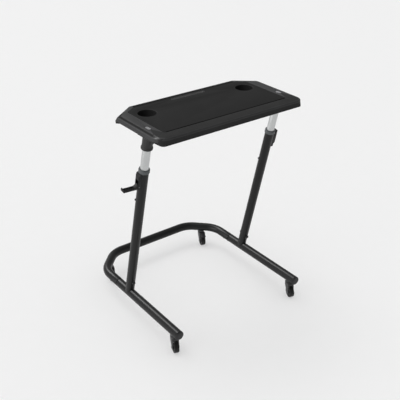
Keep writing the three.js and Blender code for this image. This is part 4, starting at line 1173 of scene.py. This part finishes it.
# %% Lips and cuts of the top
WELL_LIP = 0.0035
SLOT_LIP = 0.0045
SLOT_ROUND = 0.0012
SEAM_GROOVE_WIDTH = 0.0048
SEAM_GROOVE_DEPTH = 0.0060
GROOVE_Y = DESK_FRONT_Y + MAT_FRONT_BAND
INLAY_THICKNESS = 0.0015
INLAY_EASE = 0.0003
SEAT_SCREW_IN = 0.014
SEAT_SCREW_SPREAD = 0.068
PILOT_RADIUS = 0.0024
PILOT_DEPTH = 0.0083
PILOT_STEPS = 16
# The two screws of a socket, and on which side of its middle each is.
SCREW_ENDS = {"front": -1, "rear": 1}


def lips():
    low = DESK_TOP - MAT_THICKNESS - FIT
    rings = [prism(circle(WELL_RADIUS + WELL_LIP - FIT, x, y), low, DESK_TOP) for x, y in WELL_PLACES]
    return combined(*rings, prism(slot_outline(0, SLOT_LIP - FIT), low, DESK_TOP))


def seam_groove():
    end = DESK_END_X - MAT_END_BAND - MAT_CORNER_RADIUS
    half = SEAM_GROOVE_WIDTH / 2
    low, high = DESK_TOP - SEAM_GROOVE_DEPTH, DESK_TOP + PAST
    return block((-end, GROOVE_Y - half, low), (end, GROOVE_Y + half, high))


def inlay_seat(x):
    low = DESK_TOP - INLAY_THICKNESS
    return flared(lambda grown: inlay_outline(x, grown), low, DESK_TOP, INLAY_EASE)


def seat_screw_spot(side, end):
    return side * (RAIL_X - SEAT_SCREW_IN), SOCKET_Y + end * SEAT_SCREW_SPREAD / 2


def pilot_hole(side, end):
    outline = circle(PILOT_RADIUS, *seat_screw_spot(side, end), PILOT_STEPS)
    return prism(outline, DESK_BOTTOM - PAST, DESK_BOTTOM + PILOT_DEPTH)


def top_cuts():
    slot = flared(slot_outline, DESK_TOP - SLOT_DEPTH, DESK_TOP, SLOT_ROUND)
    seats = [inlay_seat(side * RAIL_X) for side in SIDES.values()]
    pilots = [pilot_hole(side, end) for side in SIDES.values() for end in SCREW_ENDS.values()]
    return combined(seam_groove(), slot, *seats, *pilots, *[well_cut(x, y) for x, y in WELL_PLACES])


print("lips", WELL_LIP, "m round the wells and", SLOT_LIP, "m round the slot")

# %% [markdown]
# Now the shell comes together, in the order in which the forms need each other: hollow the blank,
# hang the cups under the deck, sink the mat's recess, raise the lips, and cut the holes at last.

# %% Desk shell
RIB_SETBACK = 0.0015
MAT_EASE = 0.0009
SHELL_CREASE = 28


def desk_shell():
    low = DESK_TOP - MAT_THICKNESS
    recess = flared(lambda grown: mat_outline(grown + FIT), low, DESK_TOP, MAT_EASE)
    return shaped(
        desk_blank(),
        ("DIFFERENCE", desk_inside(-PAST, RIB_SETBACK)), ("DIFFERENCE", pockets()),
        ("UNION", under_deck()),
        ("DIFFERENCE", recess), ("UNION", lips()),
        ("DIFFERENCE", top_cuts()),
    )


shell = piece_from(desk_shell(), "desk_shell_moulded", "table", "top_plastic", "desk_shell",
                   crease=SHELL_CREASE)
print("shell faces", len(shell.data.polygons), "box", plain([shell.bound_box[0], shell.bound_box[6]]))

# %% [markdown]
# The shell is one moulding, but the mould isn't the same all over. The end bands, the lips of the
# slot and the round of the front edge have a coarser texture, and a lighter tone that is painted
# light for the light they catch. The bevel at the front corners is smooth. The wells and the rear
# edge are painted darker, and the groove along the mat is painted black, both as painted shade.
# The rear wall of the slot is painted pale grey, as painted light where the wall would be dark.

# %% Other finishes of the shell
# Painted light: the bands' tone is lighter than the top's, for the light they catch; their coarser grain is
# their own.
band_painted_light = grained("band_painted_light", (0.040, 0.040, 0.041), 0.55, specular=0.2, grain=700, depth=0.09)
# Painted light: a pale grey for the slot's rear wall, standing in for light on it.
slot_painted_light = grained("slot_painted_light", (0.28, 0.28, 0.28), 0.7, specular=0.3, grain=1600, depth=0.05)
smooth_bevel = grained("smooth_bevel", (0.03, 0.03, 0.03), 0.42, specular=0.3, grain=1300, depth=0.01)
# Painted shade: darker than the top, for the insides of the wells and the rear edge.
cup_painted_shade = grained("cup_painted_shade", (0.016, 0.016, 0.016), 0.7, specular=0.05, grain=1300, depth=0.04)
TOP, PAINTED_LIGHT_BAND, PAINTED_LIGHT_SLOT, BEVEL, PAINTED_SHADE_CUP, PAINTED_SHADE_SEAM = range(6)
for finish in (band_painted_light, slot_painted_light, smooth_bevel, cup_painted_shade, seam_painted_shade):
    shell.data.materials.append(finish)
print("finishes on the shell", len(shell.data.materials))

# %% [markdown]
# A face of the shell takes its finish by where its middle lies and by the direction it faces. Some
# of the places overlap, so the tests go from the most special one to the rest, and the first that
# holds decides. Small slacks let a test catch the faces right at the border of its place.

# %% Where each finish lies
SLACK = 0.0005
LEDGE_INSET = 0.0125
LEDGE_LOW = 0.015
PLATEAU_SLACK = 0.001
SEAM_TOP_SLACK = 0.0001
LIP_DEPTH = 0.0015
LEVEL_NORMAL = 0.85
LEDGE_NORMAL = 0.1
UPRIGHT_NORMAL = -0.3


def on_end_band(x, y, z, normal):
    ledge = abs(x) > DESK_END_X - LEDGE_INSET and normal.z > LEDGE_NORMAL and z > DESK_BOTTOM + LEDGE_LOW
    plateau = normal.z > LEVEL_NORMAL and z > DESK_TOP - PLATEAU_SLACK
    past_mat = abs(x) > DESK_END_X - MAT_END_BAND - PLATEAU_SLACK
    return past_mat and y > DESK_FRONT_Y + FRONT_ROUND and (ledge or plateau)


def on_front_round(y, z, normal):
    return normal.y < UPRIGHT_NORMAL and y < DESK_FRONT_Y + FRONT_ROUND and z > DESK_TOP - FRONT_ROUND


def on_slot_lip(x, y, z):
    across = SLOT_WIDTH / 2 + SLOT_LIP + FIT
    return abs(x) < SLOT_LENGTH / 2 + SLOT_LIP and abs(y - SLOT_Y) < across and z > DESK_TOP - LIP_DEPTH


def in_well(x, y, z):
    off_axis = math.hypot(abs(x) - WELL_X, y - WELL_Y)
    return off_axis < WELL_RADIUS + SLACK and DESK_TOP - WELL_DEPTH - SLACK < z < DESK_TOP - WELL_ROUND


def in_seam(y, z):
    deepest = DESK_TOP - SEAM_GROOVE_DEPTH - SLACK
    return abs(y - GROOVE_Y) < SEAM_GROOVE_WIDTH / 2 + FIT and deepest < z < DESK_TOP - SEAM_TOP_SLACK


def shell_finish(x, y, z, normal):
    """Which finish a face of the shell has, by its middle and its direction."""
    if abs(x) > DESK_END_X - PLATEAU_END - SLACK and y < GROOVE_STOP and z > DESK_BOTTOM + LEDGE_HEIGHT:
        return BEVEL
    # Painted shade: the inside of each well is painted darker.
    if in_well(x, y, z):
        return PAINTED_SHADE_CUP
    # Painted light: end bands, slot lips and the front round take the lighter band finish.
    if on_slot_lip(x, y, z) or on_front_round(y, z, normal) or on_end_band(x, y, z, normal):
        return PAINTED_LIGHT_BAND
    # Painted shade: the rear edge behind the mat is painted darker.
    if y > DESK_REAR_Y - MAT_REAR_BAND and abs(x) < DESK_END_X - MAT_END_BAND and z > DESK_TOP - REAR_ROUND:
        return PAINTED_SHADE_CUP
    # Painted shade: the groove along the mat's front edge takes the near-black seam finish.
    if in_seam(y, z):
        return PAINTED_SHADE_SEAM
    # Painted light: the slot's rear wall, which faces the front, takes the pale finish.
    in_slot = abs(x) < SLOT_LENGTH / 2 and SLOT_Y < y < SLOT_Y + SLOT_WIDTH and z > DESK_TOP - SLOT_DEPTH
    return PAINTED_LIGHT_SLOT if in_slot and normal.y < UPRIGHT_NORMAL else TOP


for face in shell.data.polygons:
    face.material_index = shell_finish(*face.center, face.normal)
counts = [sum(face.material_index == index for face in shell.data.polygons) for index in range(PAINTED_SHADE_SEAM + 1)]
print("faces by finish", counts)

# %% [markdown]
# The mat is a thin sheet let into the top. Its rim is eased, so that a narrow dark seam shows all
# round it, and its front edge stands free in the groove, painted near black as painted shade. The
# wells and the slot pass through it. It is level, because a thin mat lies as flat as what carries
# it. The inlays are small bare plates.

# %% Mat and inlays
HOLE_EASE = MAT_EASE / 2
MAT_FRONT_NORMAL = -0.5


def well_hole(x, y, low):
    return flared(lambda grown: circle(WELL_RADIUS + WELL_LIP + grown, x, y), low, DESK_TOP, HOLE_EASE)


def desk_mat():
    low, high = DESK_TOP - MAT_THICKNESS + FIT, DESK_TOP
    rings = [at_height(mat_outline(0), low)]
    for drawn_in, risen in quarter_round(MAT_EASE, FLARE_STEPS):
        rings.append(at_height(mat_outline(-drawn_in), high - MAT_EASE + risen))
    wells = [well_hole(x, y, low - PAST) for x, y in WELL_PLACES]
    slot = flared(lambda grown: slot_outline(grown, SLOT_LIP), low - PAST, high, HOLE_EASE)
    front = block((-DESK_WIDTH, GROOVE_Y - PAST, low - PAST),
                  (DESK_WIDTH, GROOVE_Y + SEAM_GROOVE_WIDTH / 2, high + PAST))
    return shaped(stacked(rings), ("DIFFERENCE", combined(front, slot, *wells)))


def inlay(x):
    low, high = DESK_TOP - INLAY_THICKNESS + FIT, DESK_TOP
    levels = [(-FIT, low), (-FIT, high - INLAY_EASE), (-2 * FIT, high)]
    return stacked([at_height(inlay_outline(x, grown), z) for grown, z in levels])


mat = piece_from(desk_mat(), "desk_mat_sheet", "table", "mat", "desk_mat")
# Painted shade: the mat's front faces in the groove take the near-black seam finish.
mat.data.materials.append(seam_painted_shade)
for face in mat.data.polygons:
    painted_groove_shade = face.normal.y < MAT_FRONT_NORMAL and face.center.y < GROOVE_Y + SEAM_GROOVE_WIDTH
    face.material_index = int(painted_groove_shade)
for name, side in SIDES.items():
    piece_from(inlay(side * RAIL_X), f"{name}_inlay_plate", "table", "silver_inlay", f"{name}_inlay")
print("mat box", plain([mat.bound_box[0], mat.bound_box[6]]))

# %% [markdown]
# Under the desk, each socket is a round barrel that leans with its post, a flange against the
# desk's pad and two webs. Barrel and webs would cross the flange's face, so everything above it is
# cut away. The barrel ends below in a thick lip, and the silver tube goes up into its bore.

# %% Sockets
SOCKET_LENGTH = 0.056
SOCKET_WALL = 0.0037
SOCKET_LIP = 0.0025
# How far the barrel's outside is drawn in from its lip, and how far it is above the lower end.
SOCKET_RIM = [
    (0.001, 0), (0.0003, 0.0004), (0, 0.0012), (0, 0.0068), (0.0004, 0.0077), (0.0020, 0.00975),
    (SOCKET_LIP, 0.0110),
]
SOCKET_ROUND = 0.0005
SOCKET_EDGE_ANGLE = 50
FLANGE_THICKNESS = 0.0045
WEB = 0.004
WEB_REACH = 0.020
WEB_HEIGHT = 0.038
TUBE_MARGIN = 0.024
TRIM_HEIGHT = 0.05
DESK_ALONG = (DESK_BOTTOM - RAIL_Z) / math.cos(math.radians(POST_LEAN))
SIDE_VIEW = Matrix(((0, 0, 1, 0), (1, 0, 0, 0), (0, 1, 0, 0), (0, 0, 0, 1)))
FRONT_VIEW = Matrix(((1, 0, 0, 0), (0, 0, -1, 0), (0, 1, 0, 0), (0, 0, 0, 1)))


def side_prism(outline, half_width, x=0.0):
    """An outline in Y and Z, given its width along X."""
    return prism(outline, -half_width, half_width, Matrix.Translation((x, 0, 0)) @ SIDE_VIEW)


def front_prism(outline, half_width, y=0.0):
    """An outline in X and Z, given its width along Y."""
    return prism(outline, -half_width, half_width, Matrix.Translation((0, y, 0)) @ FRONT_VIEW)


def tube_socket(side):
    place = post_place(side)
    x = side * RAIL_X
    top = DESK_BOTTOM - FIT
    wall = INNER_RADIUS + FIT + SOCKET_WALL
    low = DESK_ALONG - SOCKET_LENGTH
    barrel = turned([
        (0, low), *[(wall + SOCKET_LIP - inward, low + up) for inward, up in SOCKET_RIM],
        (wall, DESK_ALONG + wall), (0, DESK_ALONG + wall),
    ], ROUND, place)
    web_low, web_top, flange_low = top - WEB_HEIGHT, top - FIT, top - FLANGE_THICKNESS
    reach = wall + WEB_REACH
    low_y = SOCKET_Y + WEB_HEIGHT * math.tan(math.radians(POST_LEAN))
    inboard = front_prism([
        (x, web_low), (x - side * wall, web_low), (x - side * reach, flange_low),
        (x - side * reach, web_top), (x, web_top),
    ], WEB / 2, SOCKET_Y)
    front = side_prism([
        (low_y, web_low), (low_y - wall, web_low), (SOCKET_Y - reach, flange_low),
        (SOCKET_Y - reach, web_top), (low_y, web_top),
    ], WEB / 2, x)
    above = block((x - FLANGE_WIDTH, SOCKET_Y - FLANGE_LENGTH, top),
                  (x + FLANGE_WIDTH, SOCKET_Y + FLANGE_LENGTH, top + TRIM_HEIGHT))
    bore = rod(INNER_RADIUS + FIT, low - PAST, DESK_ALONG - TUBE_MARGIN + FIT, ROUND, place)
    bm = shaped(
        barrel, ("UNION", prism(flange_outline(side), flange_low, top)),
        ("UNION", inboard), ("UNION", front),
        ("DIFFERENCE", above), ("DIFFERENCE", bore),
    )
    soften(bm, SOCKET_ROUND, SOCKET_EDGE_ANGLE)
    return bm


socket_low = RAIL_Z + (DESK_ALONG - SOCKET_LENGTH) * math.cos(math.radians(POST_LEAN))
print("sockets hang to", round(socket_low, 4))

# %% [markdown]
# Two short screws go up through each flange into the desk's pads. They are the domed bolt again,
# upside down, and only a look from below shows them. Each socket is made with its own two screws.

# %% Socket screws
SEAT_SCREW_SHANK = 0.002
SEAT_SCREW_LENGTH = 0.0126
SEAT_SCREW_HEAD = (0.0042, 0.0025)


def seat_screw(side, end):
    seat = DESK_BOTTOM - 2 * FIT - FLANGE_THICKNESS
    place = Matrix.Translation((*seat_screw_spot(side, end), seat)) @ turned_by(180, "X")
    return domed_bolt(SEAT_SCREW_SHANK, -SEAT_SCREW_LENGTH, 0, SEAT_SCREW_HEAD, place)


for name, side in SIDES.items():
    piece_from(tube_socket(side), f"{name}_socket_moulded", "table", "socket_plastic",
               f"{name}_tube_socket")
    for end_name, end in SCREW_ENDS.items():
        piece_from(seat_screw(side, end), f"{name}_{end_name}_socket_head", "table", "zinc_steel",
                   f"{name}_{end_name}_socket_screw")
print("socket screws", len(SIDES) * len(SCREW_ENDS))

# %% [markdown]
# Each caster is drawn once in its own frame, with its origin on the floor under the stem and its
# wheel trailing along -Y, and then turned to its heading. The sizes below are shared: what turns on
# the axle needs to know where the axle is.

# %% Caster sizes
WHEEL_RADIUS = 0.025
AXLE_RADIUS = 0.003
FORK_OUTER = 0.014
TRAIL = 0.022
CROWN_TOP = 0.0669
CROWN_BOTTOM = 0.0569
STEM_RADIUS = 0.005
HEADING = -17
FRONT_STEM_Y = -0.301
REAR_STEM_X = 0.258
REAR_STEM_Y = 0.277
AXLE_PLACE = Matrix.Translation((0, -TRAIL, WHEEL_RADIUS)) @ turned_by(90, "Y")
# Where the stem stands, and whether there is a brake pedal.
CASTERS = {
    "front_left": (-RAIL_X, FRONT_STEM_Y, False), "front_right": (RAIL_X, FRONT_STEM_Y, False),
    "rear_left": (-REAR_STEM_X, REAR_STEM_Y, True), "rear_right": (REAR_STEM_X, REAR_STEM_Y, True),
}


def caster_place(x, y):
    return Matrix.Translation((x, y, 0)) @ turned_by(HEADING, "Z")


print("axle", TRAIL, "m behind the stem and", WHEEL_RADIUS, "m above the floor")

# %% [markdown]
# The stem is a turned steel pin with a collar under the tube and a head inside the fork's crown.
# It stays with the base, and the fork turns round it.

# %% Caster stems
STEM_COLLAR = 0.012
STEM_HEAD = 0.0075
STEM_HEAD_HEIGHT = 0.0035
STEM_TOP = 0.0845
STEM_ROUND = 0.0008
COLLAR_FOOT_ROUND = 0.0006
TUBE_BOTTOM = 0.071
ROUND_STEM = 40


def caster_stem(place):
    seat, crown, tube = CROWN_BOTTOM - FIT, CROWN_TOP + FIT, TUBE_BOTTOM - FIT
    head = seat - STEM_HEAD_HEIGHT
    return turned([
        (0, head), (STEM_HEAD - STEM_ROUND, head), (STEM_HEAD, head + STEM_ROUND), (STEM_HEAD, seat),
        (STEM_RADIUS, seat), (STEM_RADIUS, crown), (STEM_COLLAR - COLLAR_FOOT_ROUND, crown),
        (STEM_COLLAR, crown + COLLAR_FOOT_ROUND), (STEM_COLLAR, tube - STEM_ROUND),
        (STEM_COLLAR - STEM_ROUND, tube), (STEM_RADIUS, tube), (STEM_RADIUS, STEM_TOP), (0, STEM_TOP),
    ], ROUND_STEM, place)


print("stems reach up to", STEM_TOP)

# %% [markdown]
# The fork is a moulding that is easiest to see as two outlines, one from the side and one from
# above. Where both solids meet, the fork is left. A block then opens the room for the wheel. The
# rear pair are also open at the back of the crown, for a brake pedal.

# %% Caster forks
FORK_INNER = 0.011
LEG_RADIUS = 0.010
LEG_FRONT_SETBACK = 0.011
# The round at the foot of a leg runs on past half a turn, up to the leg's slanting front edge.
LEG_ARC_END = 378
LEG_ARC_STEPS = 22
CROWN_RADIUS = 0.014
CROWN_ROUND = 0.003
CROWN_ROUND_STEPS = 5
CROWN_PLAN_STEPS = 20
CROWN_BACK = 0.015
EAR_REACH = 0.027
FORK_ROUND = 0.0007
FORK_EDGE_ANGLE = 45
CUT_LOW = 0.04
CUT_TOP = 0.08
CUT_HALF = 0.02
ROUND_BORE = 32
ROUND_AXLE_HOLE = 24


def caster_fork(place, braked):
    side = [(CROWN_RADIUS, CROWN_TOP)]
    side += arc(-EAR_REACH + CROWN_ROUND, CROWN_TOP - CROWN_ROUND, CROWN_ROUND, 90, 180, CROWN_ROUND_STEPS)
    side += [(-EAR_REACH, CROWN_BOTTOM)]
    side += arc(-TRAIL, WHEEL_RADIUS, LEG_RADIUS, 180, LEG_ARC_END, LEG_ARC_STEPS)
    side += [(CROWN_RADIUS - LEG_FRONT_SETBACK, CROWN_BOTTOM - CROWN_ROUND), (CROWN_RADIUS, CROWN_BOTTOM)]
    back = -TRAIL - LEG_RADIUS - PAST
    front = arc(0, 0, FORK_OUTER, 0, 180, CROWN_PLAN_STEPS, CROWN_RADIUS / FORK_OUTER)
    plan = prism([(FORK_OUTER, back), *front, (-FORK_OUTER, back)], 0, CUT_TOP)
    cuts = [block((-FORK_INNER, back, -PAST), (FORK_INNER, CROWN_RADIUS + PAST, CROWN_BOTTOM))]
    if braked:
        cuts.append(block((-FORK_INNER, -EAR_REACH - PAST, CROWN_BOTTOM - PAST),
                          (FORK_INNER, -CROWN_BACK, CROWN_TOP + PAST)))
    bm = shaped(side_prism(side, FORK_OUTER), ("INTERSECT", plan), *[("DIFFERENCE", cut) for cut in cuts])
    soften(bm, FORK_ROUND, FORK_EDGE_ANGLE)
    bore = rod(STEM_RADIUS + FIT, CUT_LOW, CUT_TOP, ROUND_BORE)
    axle = rod(AXLE_RADIUS + FIT, -CUT_HALF, CUT_HALF, ROUND_AXLE_HOLE, AXLE_PLACE)
    return moved_bm(shaped(bm, ("DIFFERENCE", bore), ("DIFFERENCE", axle)), place)


print("forks are", 2 * FORK_OUTER, "m wide")

# %% [markdown]
# Wheel and axle are turned about the axle. The wheel is one nylon moulding with a proud hub, a
# recessed web and a tread with round shoulders. Half of its outline is a table of small steps, and
# the other half is the same one mirrored.

# %% Caster wheels and axles
WHEEL_WIDTH = 0.020
RIM_DEPTH = 0.0055
WEB_RECESS = 0.004
HUB_RADIUS = 0.0075
AXLE_HEAD = 0.0055
AXLE_HEAD_HEIGHT = 0.0025
AXLE_HEAD_SHARES = [(1, 0), (1, 0.4), (0.85, 0.8), (0.5, 1)]
ROUND_AXLE = 32
ROUND_WHEEL = 72
HUB_STAND = 0.0003
# How far out from the hub's, the rim's and the tread's radius, and from the wheel's side.
HUB_CURVE = [(-0.0006, HUB_STAND), (0, -0.0004), (0.0008, 0.0008 - WEB_RECESS), (0.0018, -WEB_RECESS)]
RIM_CURVE = [(-0.0018, -WEB_RECESS), (-0.0006, 0.0008 - WEB_RECESS), (0, -0.0006), (0.0006, 0)]
TREAD_CURVE = [(-0.0026, 0), (-0.0012, -0.0006), (-0.0004, -0.0018), (0, -0.0040)]


def caster_axle(place):
    seat = FORK_OUTER + FIT
    head = [(AXLE_HEAD * across, seat + AXLE_HEAD_HEIGHT * up) for across, up in AXLE_HEAD_SHARES]
    half = [(AXLE_RADIUS, seat), *head, (0, seat + AXLE_HEAD_HEIGHT)]
    return turned([(r, -z) for r, z in reversed(half)] + half, ROUND_AXLE, place @ AXLE_PLACE)


def caster_wheel(place):
    half = WHEEL_WIDTH / 2
    curves = {HUB_RADIUS: HUB_CURVE, WHEEL_RADIUS - RIM_DEPTH: RIM_CURVE, WHEEL_RADIUS: TREAD_CURVE}
    side = [(AXLE_RADIUS + FIT, half + HUB_STAND)]
    side += [(radius + out, half + up) for radius, curve in curves.items() for out, up in curve]
    profile = side + [(r, -z) for r, z in reversed(side)]
    return turned(profile, ROUND_WHEEL, place @ AXLE_PLACE)


print("wheels are", 2 * WHEEL_RADIUS, "m across")

# %% [markdown]
# A brake pedal sits between the ears of each rear fork. Its tab is for the foot, and its shoe comes
# down on the tread. The shoe's face follows the tread, so a wheel-sized cut shapes it. The solid
# wheel has 16 corners that stand a little past the true radius, and the cut clears them too.

# %% Brake pedals
PEDAL_Y = -0.020
PEDAL_Z = 0.0599
PEDAL_HUB = 0.004
PEDAL_GAP = 0.0005
PEDAL_REACH = 0.027
PEDAL_DROP = 0.003
PEDAL_THICKNESS = 0.003
PEDAL_ROUND = 0.0006
PEDAL_EDGE_ANGLE = 35
HUB_ARC_STEPS = 10
SHOULDER_BACK_SHARE = 2
SHOULDER_UP_SHARE = 0.7
SHOE_BACK = 0.009
SHOE_LENGTH = 0.008
TRUNNION = 0.002
BRAKE_GAP = 0.0028
SOLID_WHEEL_CORNERS = 16
ROUND_TREAD_CUT = 64
ROUND_TRUNNION = 20


def brake_pedal(place):
    tab_y, tab_z = PEDAL_Y - PEDAL_REACH, PEDAL_Z - PEDAL_DROP
    shoe_y, shoe_top = PEDAL_Y - SHOE_BACK, PEDAL_Z - PEDAL_HUB
    shoe_rear, shoe_front = shoe_y - SHOE_LENGTH / 2, shoe_y + SHOE_LENGTH / 2
    side = [
        *arc(PEDAL_Y, PEDAL_Z, PEDAL_HUB, -90, 90, HUB_ARC_STEPS),
        (PEDAL_Y - PEDAL_HUB * SHOULDER_BACK_SHARE, PEDAL_Z + PEDAL_HUB * SHOULDER_UP_SHARE),
        (tab_y, tab_z), (tab_y, tab_z - PEDAL_THICKNESS), (shoe_rear, shoe_top),
        (shoe_rear, WHEEL_RADIUS), (shoe_front, WHEEL_RADIUS), (shoe_front, shoe_top),
    ]
    tread = WHEEL_RADIUS / math.cos(math.pi / SOLID_WHEEL_CORNERS) + BRAKE_GAP
    wheel = rod(tread, -CUT_HALF, CUT_HALF, ROUND_TREAD_CUT, AXLE_PLACE)
    bm = shaped(side_prism(side, FORK_INNER - PEDAL_GAP), ("DIFFERENCE", wheel))
    soften(bm, PEDAL_ROUND, PEDAL_EDGE_ANGLE)
    pivot = Matrix.Translation((0, PEDAL_Y, PEDAL_Z)) @ turned_by(90, "Y")
    trunnions = rod(TRUNNION, -FORK_OUTER, FORK_OUTER, ROUND_TRUNNION, pivot)
    return moved_bm(shaped(bm, ("UNION", trunnions)), place)


print("pedal shoes stay", BRAKE_GAP, "m off the corners of the solid wheel")

# %% [markdown]
# The four casters are put together from these parts. The stem stays with the base, fork and axle
# turn with the swivel, and wheel and pedal each have a body of their own.

# %% Casters
for name, (x, y, braked) in CASTERS.items():
    place, swivel = caster_place(x, y), f"{name}_swivel"
    piece_from(caster_stem(place), f"{name}_stem_turned", "base", "zinc_steel", f"{name}_caster_stem")
    piece_from(caster_fork(place, braked), f"{name}_fork_moulded", swivel, "fork_plastic",
               f"{name}_caster_fork")
    piece_from(caster_axle(place), f"{name}_axle_turned", swivel, "zinc_steel", f"{name}_caster_axle")
    piece_from(caster_wheel(place), f"{name}_wheel_turned", f"{name}_wheel", "wheel_nylon",
               f"{name}_caster_wheel")
    if braked:
        piece_from(brake_pedal(place), f"{name}_pedal_moulded", f"{name}_brake", "pedal_plastic",
                   f"{name}_brake_pedal")
print("casters", list(CASTERS))

# %% [markdown]
# Every solid gets the finish that its slot in the record names. Nearly all of them are replaced by
# now. The shoes and the lever pins inside the clamps are shown as they are, so a look inside shows
# the right material.

# %% Finishes of the solids
rows = frame["record"]["subparts"]
for row in rows:
    node = frame["nodes"][row["node"]]
    for index in range(len(node.data.materials)):
        node.data.materials[index] = FINISHES[row["material_slot"]]
print("solids with a finish", len(rows))

# %% [markdown]
# The floor is one pale sheet, so large that its edge stays out of the picture.

# %% Floor
FLOOR_SIZE = 30.0
FLOOR_COLOR = (0.9, 0.9, 0.9)
FLOOR_ROUGHNESS = 0.9
FLOOR_GRAIN = 40
FLOOR_STAIN = 0.004


def floor_plane():
    bm = bmesh.new()
    bmesh.ops.create_grid(bm, x_segments=1, y_segments=1, size=FLOOR_SIZE / 2)
    mesh = bpy.data.meshes.new("floor")
    bm.to_mesh(mesh)
    bm.free()
    mesh.materials.append(grained(
        "floor_paint", FLOOR_COLOR, FLOOR_ROUGHNESS, grain=FLOOR_GRAIN, depth=0.0, stain=FLOOR_STAIN,
    ))
    floor = bpy.data.objects.new("floor", mesh)
    bpy.context.scene.collection.objects.link(floor)


floor_plane()
